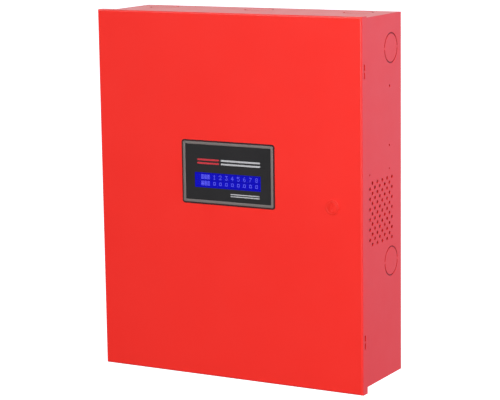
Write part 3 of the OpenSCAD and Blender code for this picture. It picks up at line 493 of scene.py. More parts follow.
FERRITE = sintered("sintered_ferrite", "#303134", "#3d3e42")
IRON_POWDER = sintered("coated_iron_powder", "#80833b", "#999c52")
TAPE = winding_tape("polyester_winding_tape", "#cda32c", "#e0ba4c")
COPPER = enamelled_copper("enamelled_copper_wire")
SLEEVE = striped("shrink_sleeve", "#171b26", "#b9bdc6", 0.14, 0.24, 6.0)
GLASS = clear_sheet("drawn_glass", "#eef4f4", 1.5)
WIRE_RED = jacket("red_pvc_insulation", "#a91818", "#b92420")
WIRE_BLACK = jacket("black_pvc_insulation", "#131416", "#1e1f21")
WIRE_EARTH = striped("green_and_yellow_pvc", "#2c8433", "#d9c02f", 0.34, 0.36, 3.0)
RIBBON_PVC = striped("grey_ribbon_pvc", "#a9aaac", "#b52a2a", 0.045, 0.4, 3.0)

CARRIED_OVER = {
    RED: ["backbox", "front_door"],
    ZINC: ["hinge_leaf_box", "hinge_leaf_door", "display_studs", "board_standoffs"],
    FILM: ["display_overlay"],
    ACRYLIC: ["display_window"],
    CRYSTAL: ["lcd_glass"],
    BOARD: ["lcd_board", "logic_board", "power_board"],
    ALUMINIUM: ["heat_sink"],
    TIN: ["fuse_clips", "battery_posts"],
    BRASS: ["door_earth_stud", "box_earth_stud"],
    IRON_POWDER: ["choke_cores"],
}

# Nodes whose edges are rounded, with the radius in millimetres
EASED = {
    "latch_body": (LATCH_RED, 0.25),
    "latch_core": (LATCH_RED, 0.2),
    "latch_nut": (ZINC, 0.2),
    "latch_cam": (ZINC, 0.25),
    "latch_screw": (ZINC, 0.15),
    "hinge_pin": (ZINC, 0.3),
    "display_nuts": (ZINC, 0.15),
    "board_screws": (ZINC, 0.12),
    "terminal_screws": (ZINC, 0.0),
    "lcd_frame": (BLACK_NYLON, 0.3),
    "display_plug": (BLACK_NYLON, 0.3),
    "board_plug": (BLACK_NYLON, 0.3),
    "switch_bases": (BLACK_NYLON, 0.15),
    "mains_terminals": (BLACK_NYLON, 0.4),
    "logic_chips": (CHIP_RESIN, 0.15),
    "power_transistors": (CHIP_RESIN, 0.2),
    "relays": (RELAY_BLUE, 0.4),
    "terminal_blocks": (TERMINAL_GREEN, 0.2),
    "button_menu": (CAP_GREY, 0.3),
    "button_up": (CAP_GREY, 0.3),
    "button_down": (CAP_GREY, 0.3),
    "transformer_core": (FERRITE, 0.4),
    "transformer_winding": (TAPE, 0.6),
    "suppression_capacitors": (BOX_YELLOW, 0.5),
    "battery_left": (BATTERY_CASE, 0.8),
    "battery_right": (BATTERY_CASE, 0.8),
    "lead_sockets": (NATURAL_NYLON, 0.3),
    "supply_plugs": (NATURAL_NYLON, 0.3),
}


def finish_carried_over():
    """Gives its finish to each CAD node that keeps its own shape."""
    for material, names in CARRIED_OVER.items():
        for name in names:
            nodes[name].data.materials.clear()
            nodes[name].data.materials.append(material)


def ease_edges():
    """Rounds the sharp edges of the small parts, as moulding, pressing and plating leave them."""
    for name, (material, radius) in EASED.items():
        bm = merged(name)
        sharp = [e for e in bm.edges if e.is_manifold and e.calc_face_angle() > SHARP_ANGLE]
        if radius:
            sizes = {"offset": radius * MM, "segments": 2, "profile": 0.5, "clamp_overlap": True}
            bmesh.ops.bevel(bm, geom=sharp, affect="EDGES", **sizes)
        stand_in(name + "_eased", from_bmesh(name + "_eased", bm), name, material)


# ---------------------------------------------------------------- geometry trees


def new_tree(name, *wanted):
    """A geometry tree with named inputs, given as (name, kind), and the sockets that they come in by."""
    tree = bpy.data.node_groups.new(name, "GeometryNodeTree")
    for label, kind in wanted:
        tree.interface.new_socket(label, in_out="INPUT", socket_type="NodeSocket" + kind)
    tree.interface.new_socket("Geometry", in_out="OUTPUT", socket_type="NodeSocketGeometry")
    return tree, node(tree, "NodeGroupInput").outputs


def end_tree(tree, geometry, finish):
    """Ends a tree: copies are made real and given their finish."""
    real = node(tree, "GeometryNodeRealizeInstances", {"Geometry": geometry})
    done = node(tree, "GeometryNodeSetMaterial", {"Geometry": real, "Material": finish})
    node(tree, "NodeGroupOutput", {"Geometry": done})
    return tree


def copies_tree():
    """A copy of a shape on every point of the mesh it is given."""
    wanted = (("Points", "Geometry"), ("Shape", "Object"), ("Finish", "Material"))
    tree, given = new_tree("copies_on_points", *wanted)
    shape = node(tree, "GeometryNodeObjectInfo", {"Object": given["Shape"]}).outputs["Geometry"]
    copies = node(tree, "GeometryNodeInstanceOnPoints", {"Points": given["Points"], "Instance": shape})
    return end_tree(tree, copies, given["Finish"])


def sweep_tree():
    """An outline swept along a smooth route, as insulation is extruded on a wire. The outline's "round"
    attribute is carried along the sweep."""
    wanted = (("Route", "Geometry"), ("Outline", "Object"), ("Steps", "Int"), ("Finish", "Material"))
    tree, given = new_tree("outline_along_route", *wanted)
    route = node(tree, "GeometryNodeMeshToCurve", {"Mesh": given["Route"]})
    smooth = node(tree, "GeometryNodeCurveSplineType", {"Curve": route}, spline_type="CATMULL_ROM")
    fine = node(tree, "GeometryNodeSetSplineResolution", {"Geometry": smooth, "Resolution": given["Steps"]})
    shape = node(tree, "GeometryNodeObjectInfo", {"Object": given["Outline"]}).outputs["Geometry"]
    outline = node(tree, "GeometryNodeMeshToCurve", {"Mesh": shape})
    sweep = {"Curve": fine, "Profile Curve": outline, "Fill Caps": True}
    return end_tree(tree, node(tree, "GeometryNodeCurveToMesh", sweep), given["Finish"])


def turns_tree():
    """Turns of wire set side by side round part of a ring that lies flat on a board."""
    wanted = [("Shape", "Object"), ("Turns", "Int"), ("Start", "Float"), ("Sweep", "Float")]
    tree, given = new_tree("turns_round_a_ring", *wanted, ("Centre", "Vector"), ("Finish", "Material"))
    places = node(tree, "GeometryNodeMeshLine", {"Count": given["Turns"], "Offset": (0.0, 0.0, 0.0)})
    centred = node(tree, "GeometryNodeSetPosition", {"Geometry": places, "Position": given["Centre"]})
    last = node(tree, "ShaderNodeMath", {0: given["Turns"], 1: 1.0}, operation="SUBTRACT")
    index = node(tree, "GeometryNodeInputIndex")
    share = node(tree, "ShaderNodeMath", {0: index, 1: last}, operation="DIVIDE")
    swept = node(tree, "ShaderNodeMath", {0: share, 1: given["Sweep"]}, operation="MULTIPLY")
    angle = node(tree, "ShaderNodeMath", {0: swept, 1: given["Start"]}, operation="ADD")
    shape = node(tree, "GeometryNodeObjectInfo", {"Object": given["Shape"]}).outputs["Geometry"]
    turned = node(tree, "ShaderNodeCombineXYZ", {1: angle})
    copies = {"Points": centred, "Instance": shape, "Rotation": turned}
    return end_tree(tree, node(tree, "GeometryNodeInstanceOnPoints", copies), given["Finish"])


def rows_tree():
    """Small parts set in loose rows on a board: some places stay empty, and some parts are turned by a
    quarter."""
    wanted = [("Shape", "Object"), ("Width", "Float"), ("Height", "Float"), ("Columns", "Int")]
    wanted += [("Rows", "Int"), ("Share", "Float"), ("Shift", "Float"), ("Seed", "Int"), ("Centre", "Vector")]
    tree, given = new_tree("parts_in_rows", *wanted, ("Finish", "Material"))
    sizes = {"Size X": given["Width"], "Size Y": given["Height"]}
    counts = {"Vertices X": given["Columns"], "Vertices Y": given["Rows"]}
    grid = node(tree, "GeometryNodeMeshGrid", sizes | counts).outputs["Mesh"]
    upright = {"Geometry": grid, "Translation": given["Centre"], "Rotation": (math.pi / 2, 0.0, 0.0)}
    stood = node(tree, "GeometryNodeTransform", upright)
    back = node(tree, "ShaderNodeMath", {0: given["Shift"], 1: -1.0}, operation="MULTIPLY")
    low = node(tree, "ShaderNodeCombineXYZ", {0: back, 2: back})
    high = node(tree, "ShaderNodeCombineXYZ", {0: given["Shift"], 2: given["Shift"]})
    nudge = {0: low, 1: high, "Seed": given["Seed"]}
    nudge = node(tree, "FunctionNodeRandomValue", nudge, data_type="FLOAT_VECTOR").outputs[0]
    moved = node(tree, "GeometryNodeSetPosition", {"Geometry": stood, "Offset": nudge})
    # Two more seeds, so that the gaps and the quarter turns don't follow the shifts
    seeds = [node(tree, "ShaderNodeMath", {0: given["Seed"], 1: k}, operation="ADD") for k in (17.0, 31.0)]
    chosen = {"Probability": given["Share"], "Seed": seeds[0]}
    chosen = node(tree, "FunctionNodeRandomValue", chosen, data_type="BOOLEAN").outputs[3]
    quarter = {4: 0, 5: 1, "Seed": seeds[1]}
    quarter = node(tree, "FunctionNodeRandomValue", quarter, data_type="INT").outputs[2]
    angle = node(tree, "ShaderNodeMath", {0: quarter, 1: math.pi / 2}, operation="MULTIPLY")
    shape = node(tree, "GeometryNodeObjectInfo", {"Object": given["Shape"]}).outputs["Geometry"]
    turned = node(tree, "ShaderNodeCombineXYZ", {1: angle})
    copies = {"Points": moved, "Selection": chosen, "Instance": shape, "Rotation": turned}
    return end_tree(tree, node(tree, "GeometryNodeInstanceOnPoints", copies), given["Finish"])


COPIES = copies_tree()
SWEEP = sweep_tree()
TURNS = turns_tree()
ROWS = rows_tree()
patterns = []


def pattern(name, mesh):
    """A shape or outline that trees copy. It is removed once they have all run."""
    shape = bpy.data.objects.new(name, mesh)
    bpy.context.collection.objects.link(shape)
    patterns.append(shape)
    return shape


def grown(name, tree, values, start=None):
    """Runs a tree once, on the mesh start, and returns what it makes as a plain mesh."""
    seed = bpy.data.objects.new(name, start or bpy.data.meshes.new(name))
    bpy.context.collection.objects.link(seed)
    modifier = seed.modifiers.new("tree", "NODES")
    modifier.node_group = tree
    sockets = {item.name: item.identifier for item in tree.interface.items_tree if item.in_out == "INPUT"}
    for label, value in values.items():
        modifier[sockets[label]] = value
    made = bpy.data.meshes.new_from_object(seed.evaluated_get(bpy.context.evaluated_depsgraph_get()))
    seed.modifiers.remove(modifier)
    bpy.data.objects.remove(seed)
    bm = bmesh.new()
    bm.from_mesh(made)
    mesh = from_bmesh(name, bm)
    mesh.materials.append(values["Finish"])
    return mesh


def line_mesh(name, points, joined=True):
    """A mesh of bare points, joined in a line or left apart."""
    mesh = bpy.data.meshes.new(name)
    edges = [(i, i + 1) for i in range(len(points) - 1)] if joined else []
    mesh.from_pydata([tuple(p) for p in points], edges, [])
    return mesh


# ---------------------------------------------------------------- display

BEZEL_RIM, BEZEL_CORNER = 3.4 * MM, 1.5 * MM
# The section of the painted gap shade in millimetres, as its reach out from the bezel's rim and its y: a lip
# that lies on the door's face, and a foot in the gap
GAP_SHADE_SECTION = [(0.05, -118.4), (1.9, -118.4), (2.1, -118.2), (2.1, -118.02)]
GAP_SHADE_SECTION += [(1.2, -118.02), (1.2, -116.6), (0.05, -116.6)]


def bezel():
    """The display's moulded surround, with its rim rounded to a crown."""
    front_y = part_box("display_bezel")[0].y
    bm = merged("display_bezel")
    ends = [e for e in bm.edges if max(v.co.y for v in e.verts) < front_y + 0.01 * MM]
    sharp = [e for e in ends if e.is_manifold and e.calc_face_angle() > SHARP_ANGLE]
    sizes = {"offset": 0.8 * MM, "segments": 3, "profile": 0.5, "clamp_overlap": True}
    bmesh.ops.bevel(bm, geom=sharp, affect="EDGES", **sizes)
    stand_in("bezel_moulding", from_bmesh("bezel_moulding", bm), "display_bezel", BEZEL_GREY)


def bezel_gasket():
    """A dark maroon ring that fills the gap between the bezel's rim and the door: painted shade, for the shadow
    in that gap.
    """
    low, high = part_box("display_overlay")
    inset = BEZEL_RIM - BEZEL_CORNER
    shade_ring = bmesh.new()
    loops = []
    for reach, y in GAP_SHADE_SECTION:
        loop = []
        for k, (x_side, z_side) in enumerate(((1, 1), (-1, 1), (-1, -1), (1, -1))):
            x = (high.x if x_side > 0 else low.x) + x_side * inset
            z = (high.z if z_side > 0 else low.z) + z_side * inset
            for step in range(5):
                turn = math.radians(90 * k + 22.5 * step)
                spoke = Vector((math.cos(turn), 0.0, math.sin(turn))) * (BEZEL_CORNER + reach * MM)
                loop.append(shade_ring.verts.new(Vector((x, y * MM, z)) + spoke))
        loops.append(loop)
    add_bands(shade_ring, loops + loops[:1])
    keep("bezel_gasket", from_bmesh("bezel_gasket", shade_ring), "door", GAP_SHADE_RUBBER)


def character_dots(glyph, column, row):
    """The places of one character's lit dots, on the face of the display glass."""
    centre_x = char_x0 + column * CHAR_PITCH
    centre_z = row_z + (0.5 - row) * ROW_PITCH
    face_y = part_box("lcd_glass")[0].y
    lines = enumerate(GLYPHS[glyph])
    marks = [(k, i) for i, line in lines for k, mark in enumerate(line) if mark == "#"]
    return [(centre_x + (k - 2) * DOT_PITCH_X, face_y, centre_z + (3 - i) * DOT_PITCH_Z) for k, i in marks]


def display_characters():
    """Eight numbered zones along the top row with a plain box under each, and solid blocks at the left."""
    dots = []
    for zone in range(8):
        dots += character_dots(str(zone + 1), 5 + 2 * zone, 0)
        dots += character_dots("idle", 5 + 2 * zone, 1)
    for column in (1, 2, 3):
        dots += character_dots("block", column, 0) + character_dots("block", column, 1)
    half_x, half_z, thick = 0.46 * DOT_PITCH_X, 0.46 * DOT_PITCH_Z, 0.03 * MM
    bm = bmesh.new()
    add_block(bm, (-half_x, -thick, -half_z), (half_x, 0.0, half_z))
    values = {"Shape": pattern("display_dot", from_bmesh("display_dot", bm)), "Finish": LIT_CRYSTAL}
    mesh = grown("display_characters", COPIES, values, line_mesh("dots", dots, joined=False))
    keep("display_characters", mesh, "door")


def add_bar(bm, middle_x, middle_z, length, height):
    """Adds a thin printed bar with round ends, on the face of the film."""
    face_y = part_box("display_overlay")[0].y
    thick = 0.03 * MM
    radius = height / 2
    outline = []
    for side in (1, -1):
        for k in range(9):
            turn = math.pi * k / 8 - math.pi / 2
            x = middle_x + side * (length / 2 - radius + radius * math.cos(turn))
            outline.append((x, face_y, middle_z + side * radius * math.sin(turn)))
    face = bm.faces.new([bm.verts.new(p) for p in outline])
    for part in bmesh.ops.extrude_face_region(bm, geom=[face])["geom"]:
        if isinstance(part, bmesh.types.BMVert):
            part.co.y -= thick


def printed_rules():
    """Pairs of plain rules printed on the film: no words and no marks."""
    low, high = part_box("display_overlay")
    width = high.x - low.x
    upper_z, lower_z = window_high.z + 14 * MM, window_low.z - 7.5 * MM
    white, red = bmesh.new(), bmesh.new()
    for bm, share, length, middle_z, gap, height in (
        (red, 0.27, 0.26, upper_z, 4.4 * MM, 2.2 * MM),
        (white, 0.65, 0.46, upper_z, 4.4 * MM, 2.2 * MM),
        (white, 0.70, 0.34, lower_z, 2.6 * MM, 1.2 * MM),
    ):
        for side in (-0.5, 0.5):
            add_bar(bm, low.x + share * width, middle_z + side * gap, length * width, height)
    keep("white_rules", from_bmesh("white_rules", white), "door", INK_WHITE)
    keep("red_rules", from_bmesh("red_rules", red), "door", INK_RED)


# ---------------------------------------------------------------- knockouts

KNOCKOUT_RADIUS, GROOVE_WIDTH, GROOVE_DEPTH = 18.8 * MM, 1.7 * MM, 0.95 * MM
KNOCKOUT_Y = -31 * MM
# A quarter turn less half of a tab's width
GROOVE_HALF_SWEEP = math.radians(85.5)
SIDE_KNOCKOUT_Z = (185 * MM, -78 * MM)
TOP_KNOCKOUT_X = (-138 * MM, 0.0, 138 * MM)
BOTTOM_KNOCKOUT_X = (-138 * MM, 138 * MM)


def add_groove_shade(bm, centre, out, tab):
    """Adds two dark half rings of painted shade on the floor of a knockout's groove, which the two tabs keep
    apart.
    """
    across = out.cross(tab)
    slack, thick, steps = 0.06 * MM, 0.3 * MM, 20
    inner, outer = KNOCKOUT_RADIUS - GROOVE_WIDTH + slack, KNOCKOUT_RADIUS - slack
    section = ((inner, -thick), (outer, -thick), (outer, thick), (inner, thick))
    floor = centre - GROOVE_DEPTH * out
    for side in (-1, 1):
        rings = []
        for k in range(steps + 1):
            turn = GROOVE_HALF_SWEEP * (2 * k / steps - 1)
            spoke = side * (math.cos(turn) * across + math.sin(turn) * tab)
            rings.append([bm.verts.new(floor + reach * spoke + rise * out) for reach, rise in section])
        add_bands(bm, rings)
        bm.faces.new(rings[0])
        bm.faces.new(rings[-1])


def knockout_grooves():
    """Dark linings in the knockouts' grooves: painted shade, for the shadow that falls in the grooves and their
    sheared slits.
    """
    low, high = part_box("backbox")
    x_way, y_way, z_way = Vector((1.0, 0.0, 0.0)), Vector((0.0, 1.0, 0.0)), Vector((0.0, 0.0, 1.0))
    bm = bmesh.new()
    for z in SIDE_KNOCKOUT_Z:
        add_groove_shade(bm, Vector((low.x, KNOCKOUT_Y, z)), -x_way, y_way)
        add_groove_shade(bm, Vector((high.x, KNOCKOUT_Y, z)), x_way, y_way)
    for x in TOP_KNOCKOUT_X:
        add_groove_shade(bm, Vector((x, KNOCKOUT_Y, high.z)), z_way, x_way)
    for x in BOTTOM_KNOCKOUT_X:
        add_groove_shade(bm, Vector((x, KNOCKOUT_Y, low.z)), -z_way, x_way)
    keep("knockout_grooves", from_bmesh("knockout_grooves", bm), "backbox", GROOVE_SHADE_RED)


# ---------------------------------------------------------------- wiring

# Radii, routes and the gap are in millimetres. Each route runs from one end's crimp or plug to the other's
LEAD_RADIUS = 1.6
EARTH_RADIUS = 1.5
SUPPLY_RADIUS = 1.2
RED_ROUTE = [
    (-145, -91.5, -111.8), (-145, -91.5, -107), (-145, -91.5, -101), (-141, -80, -92),
    (-120, -64, -87), (-60, -58, -89), (0, -52, -87), (34, -40, -84),
    (42.5, -27, -78), (43.8, -19.5, -70), (43.8, -18.6, -64), (43.8, -18.6, -59.5),
]
BLACK_ROUTE = [
    (145, -91.5, -111.8), (145, -91.5, -107), (145, -91.5, -101), (140, -82, -92),
    (118, -66, -88), (86, -54, -87), (62, -40, -84), (53, -27, -78),
    (51.4, -19.5, -70), (51.4, -18.6, -64), (51.4, -18.6, -59.5),
]
LINK_ROUTE = [
    (-15, -91.5, -111.8), (-15, -91.5, -108), (-15, -91.5, -103), (-10, -91.5, -97),
    (0, -91.5, -95), (10, -91.5, -97), (15, -91.5, -103), (15, -91.5, -108),
    (15, -91.5, -111.8),
]
EARTH_ROUTE = [
    (-145, -112.9, -95), (-150, -112.9, -95), (-155, -112, -95.5), (-163, -106, -99),
    (-168, -92, -108), (-169, -74, -117), (-169, -54, -119), (-168, -36, -112),
    (-164, -20, -102), (-154, -8, -96), (-144, -5.3, -95), (-138, -5.1, -95),
    (-133, -5.1, -95),
]
SUPPLY_ROUTE = [
    (-27, -17.5, 96), (-27, -21, 96), (-26, -27, 96), (-20, -32, 96),
    (-10, -33, 96), (0, -31, 96), (6, -26, 96), (8, -21, 96),
    (8, -17.5, 96),
]
SUPPLY_GAP = 6.0


def outline_mesh(name, points):
    """A closed outline in the XY plane, in millimetres, with "round" running from 0 to 1 along it."""
    mesh = bpy.data.meshes.new(name)
    count = len(points)
    edges = [(i, (i + 1) % count) for i in range(count)]
    mesh.from_pydata([(x * MM, y * MM, 0.0) for x, y in points], edges, [])
    share = mesh.attributes.new("round", "FLOAT", "POINT")
    share.data.foreach_set("value", [i / count for i in range(count)])
    return mesh


def round_outline(name, radius, sides=14):
    """A round wire's outline, with its radius in millimetres."""
    turns = [2 * math.pi * k / sides for k in range(sides)]
    return pattern(name, outline_mesh(name, [(radius * math.cos(t), radius * math.sin(t)) for t in turns]))


def in_metres(route):
    """A route's points, given in millimetres, as metres."""
    return [tuple(c * MM for c in point) for point in route]


def wire(name, route, outline, finish):
    """A wire along a route in millimetres, as a mesh."""
    values = {"Outline": outline, "Steps": 6, "Finish": finish}
    return grown(name, SWEEP, values, line_mesh(name + "_route", in_metres(route)))


def battery_leads():
    """The two leads from the batteries to the power board, and the link that joins the batteries in
    series."""
    outline = round_outline("lead_outline", LEAD_RADIUS)
    for name, route, finish in (
        ("battery_lead_red", RED_ROUTE, WIRE_RED),
        ("battery_lead_black", BLACK_ROUTE, WIRE_BLACK),
        ("battery_link", LINK_ROUTE, WIRE_RED),
    ):
        stand_in(name + "_pvc", wire(name + "_pvc", route, outline, finish), name, finish)


def supply_wires():
    """The red and black wires, one above the other, that feed the logic board from the power board."""
    outline = round_outline("supply_outline", SUPPLY_RADIUS)
    lower = wire("supply_lower", SUPPLY_ROUTE, outline, WIRE_RED)
    raised = [(x, y, z + SUPPLY_GAP) for x, y, z in SUPPLY_ROUTE]
    upper = wire("supply_upper", raised, outline, WIRE_BLACK)
    stand_in("supply_wire_red", lower, "supply_wires", WIRE_RED)
    keep("supply_wire_black", upper, body_of("supply_wires"), WIRE_BLACK)


def earth_wire():
    """The door's green and yellow earth wire, drawn in one shape on no body; the real wire bends as the door
    opens.
    """
    mesh = wire("earth_wire_pvc", EARTH_ROUTE, round_outline("earth_outline", EARTH_RADIUS), WIRE_EARTH)
    piece = keep("earth_wire_pvc", mesh, None, WIRE_EARTH)
    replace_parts(piece, "earth_wire")
    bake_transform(piece)


def ribbon_outline():
    """Sixteen round conductors side by side, each in its own rib of insulation."""
    conductors, pitch, radius = 16, 1.25, 0.46
    # The groove between two ribs is 4 % of the pitch wide
    reach = 0.48 * pitch / math.sin(math.radians(60))
    side = []
    for k in range(conductors):
        middle = (k - (conductors - 1) / 2) * pitch
        for angle in (math.radians(turn) for turn in (-60, -25, 25, 60)):
            side.append((radius * math.cos(angle), middle + reach * math.sin(angle)))
    other = [(-x, y) for x, y in reversed(side)]
    return pattern("ribbon_outline", outline_mesh("ribbon_outline", other + side))


def ribbon_route():
    """Across behind the display, round the hinge side, back along the box's wall, and in to the logic
    board."""
    display_plug, board_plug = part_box("display_plug"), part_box("board_plug")
    z = (board_plug[0].z + board_plug[1].z) / 2 / MM
    # The ribbon enters each plug this far from the plug's side
    entry = 4.6
    start, end = display_plug[0].x / MM + entry, board_plug[0].x / MM + entry
    front_y, side_x, back_y = -95.5, -168.0, -27.0
    front_bend, back_bend, bend_steps = 16, 13, 12
    turns = [math.radians(90 * k / bend_steps) for k in range(bend_steps + 1)]
    points = [(start + (side_x + front_bend - start) * k / 8, front_y, z) for k in range(8)]
    for turn in turns:
        x = side_x + front_bend - front_bend * math.sin(turn)
        points.append((x, front_y + front_bend - front_bend * math.cos(turn), z))
    along = back_y - back_bend - front_y - front_bend
    points += [(side_x, front_y + front_bend + along * k / 5, z) for k in range(1, 5)]
    for turn in turns:
        x = side_x + back_bend - back_bend * math.cos(turn)
        points.append((x, back_y - back_bend + back_bend * math.sin(turn), z))
    points += [(side_x + back_bend + (end - side_x - back_bend) * k / 6, back_y, z) for k in range(1, 7)]
    return points


def display_ribbon():
    """The display's ribbon cable, drawn in one shape on no body; the real cable bends as the door opens."""
    values = {"Outline": ribbon_outline(), "Steps": 2, "Finish": RIBBON_PVC}
    mesh = grown("display_ribbon", SWEEP, values, line_mesh("ribbon_route", in_metres(ribbon_route())))
    piece = keep("display_ribbon", mesh, None, RIBBON_PVC)
    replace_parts(piece, "ribbon_cable")
    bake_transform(piece)


# ---------------------------------------------------------------- electronic parts

OFF_BOARD = (0.0, -1.0, 0.0)


def foot(box):
    """The middle of a part's foot on the board, its radius and its height, from its box."""
    low, high = box
    return Vector(((low.x + high.x) / 2, high.y, (low.z + high.z) / 2)), (high.x - low.x) / 2, high.y - low.y


def capacitors(name):
    """Electrolytic capacitors: a sleeved can and a bare top, scored with a cross."""
    sleeves, tops, scores = bmesh.new(), bmesh.new(), bmesh.new()
    for box in solids(name):
        place, r, h = foot(box)
        # r is in metres, so the steps of the crimp, the shoulder and the rim are micrometres deep and don't show
        k = r / 15
        crimp = [(r, 3.0 * k * MM), (r - 0.7 * k * MM, 4.2 * k * MM), (r, 5.4 * k * MM)]
        base = [(r - 1.2 * k * MM, 0.0), (r, 1.2 * k * MM)]
        shoulder = [(r, h - 1.2 * k * MM), (r - 0.35 * k * MM, h - 0.35 * k * MM), (r - 1.2 * k * MM, h)]
        rim = [(r - 2.2 * k * MM, h), (r - 2.5 * k * MM, h - 0.5 * k * MM)]
        add_turned(sleeves, place, OFF_BOARD, base + crimp + shoulder + rim, 40)
        top = h - 0.5 * k * MM
        disc_r = r - 2.5 * k * MM
        add_turned(tops, place, OFF_BOARD, [(disc_r, top - MM), (disc_r, top + 0.2 * k * MM)], 40)
        face_y = place.y - top - 0.2 * k * MM
        # The cross is painted shade: dark strips for the shadow in the pressed vent grooves of the bare top
        for long_x, long_z in ((0.6 * r, 0.03 * r), (0.03 * r, 0.6 * r)):
            low = (place.x - long_x, face_y - 0.05 * MM, place.z - long_z)
            add_block(scores, low, (place.x + long_x, face_y + 0.2 * MM, place.z + long_z))
    stand_in(name + "_sleeves", from_bmesh(name + "_sleeves", sleeves), name, SLEEVE)
    keep(name + "_tops", from_bmesh(name + "_tops", tops), body_of(name), ALUMINIUM)
    keep(name + "_scores", from_bmesh(name + "_scores", scores), body_of(name), FERRITE)


def lamps(name, finish):
    """Domed lamps with a flange at the foot."""
    bm = bmesh.new()
    for box in solids(name):
        place, r, h = foot(box)
        body = r - 0.3 * MM
        dome = dome_profile(body, body, h - body)
        add_turned(bm, place, OFF_BOARD, [(r, 0.0), (r, MM), (body, MM), *dome, (0.1 * body, h)], 20)
    stand_in(name + "_domed", from_bmesh(name + "_domed", bm, 40), name, finish)


def glass_fuse():
    """A glass cartridge fuse: two plated caps, a clear tube and its fine wire."""
    low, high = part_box("fuse")
    centre = Vector((low.x, (low.y + high.y) / 2, (low.z + high.z) / 2))
    length, r = high.x - low.x, (high.z - low.z) / 2
    cap = 5 * MM
    caps, tube, thread = bmesh.new(), bmesh.new(), bmesh.new()
    ends = [(r - 0.3 * MM, 0.0), (r, 0.3 * MM), (r, cap)]
    add_turned(caps, centre, (1, 0, 0), ends, 24)
    add_turned(caps, centre + Vector((length, 0, 0)), (-1, 0, 0), ends, 24)
    add_turned(tube, centre, (1, 0, 0), [(r - 0.2 * MM, cap - MM), (r - 0.2 * MM, length - cap + MM)], 24)
    add_turned(thread, centre, (1, 0, 0), [(0.12 * MM, cap), (0.12 * MM, length - cap)], 8)
    stand_in("fuse_caps", from_bmesh("fuse_caps", caps), "fuse", TIN)
    for name, bm, finish in (("fuse_tube", tube, GLASS), ("fuse_thread", thread, COPPER)):
        keep(name, from_bmesh(name, bm), body_of("fuse"), finish)


def turn_of_wire():
    """One turn of winding wire round a core's section, in the XY plane, with the ring's centre at the
    origin."""
    low, high = solids("choke_windings")[0]
    outer = (high.x - low.x) / 2 - 1.0 * MM
    inner, height, wire_radius = outer - 4.8 * MM, high.y - low.y - 1.2 * MM, 0.55 * MM
    corner = 1.1 * MM
    route = []
    top, bottom = height / 2, -height / 2
    for quarter, (x, y) in enumerate(((outer, top), (inner, top), (inner, bottom), (outer, bottom))):
        toward = Vector((1 if x == inner else -1, -1 if y > 0 else 1))
        for k in range(3):
            turn = math.radians(90 * quarter + 45 * k)
            route.append(Vector((x, y)) + corner * (toward + Vector((math.cos(turn), math.sin(turn)))))
    bm = bmesh.new()
    sides = 6
    rings = []
    middle = Vector(((outer + inner) / 2, 0.0))
    for point in route:
        out = (point - middle).normalized()
        turns = [2 * math.pi * k / sides for k in range(sides)]
        ring = [(point + wire_radius * math.cos(t) * out, wire_radius * math.sin(t)) for t in turns]
        rings.append([bm.verts.new((p.x, p.y, z)) for p, z in ring])
    add_bands(bm, rings + rings[:1])
    return pattern("turn_of_wire", from_bmesh("turn_of_wire", bm, 60))


def choke_windings():
    """Each ring core carries two windings, with a gap between them at either side."""
    turn = turn_of_wire()
    rings = [box for box in solids("choke_cores") if box[1].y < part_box("choke_windings")[1].y]
    made = bmesh.new()
    for low, high in rings:
        centre = (low + high) / 2
        for start in (math.radians(15), math.radians(195)):
            values = {"Shape": turn, "Turns": 15, "Start": start, "Sweep": math.radians(150)}
            half = grown("winding", TURNS, values | {"Centre": centre, "Finish": COPPER})
            made.from_mesh(half)
            bpy.data.meshes.remove(half)
    stand_in("choke_wire_turns", from_bmesh("choke_wire_turns", made, 60), "choke_windings", COPPER)


def small_part(name, length, width, thick, tag):
    """Outlines of a surface-mounted part, as its body and as the tinned tags at its ends."""
    body, tags = bmesh.new(), bmesh.new()
    half = Vector((length / 2, thick, width / 2)) * MM
    add_block(body, (-half.x + tag * MM, -half.y, -half.z), (half.x - tag * MM, half.y, half.z))
    for side in (-1, 1):
        ends = sorted((side * half.x, side * (half.x - tag * MM)))
        add_block(tags, (ends[0], -half.y * 0.98, -half.z * 0.96), (ends[1], half.y * 0.98, half.z * 0.96))
    return pattern(name + "_body", from_bmesh(name, body)), pattern(name + "_tags", from_bmesh(name, tags))


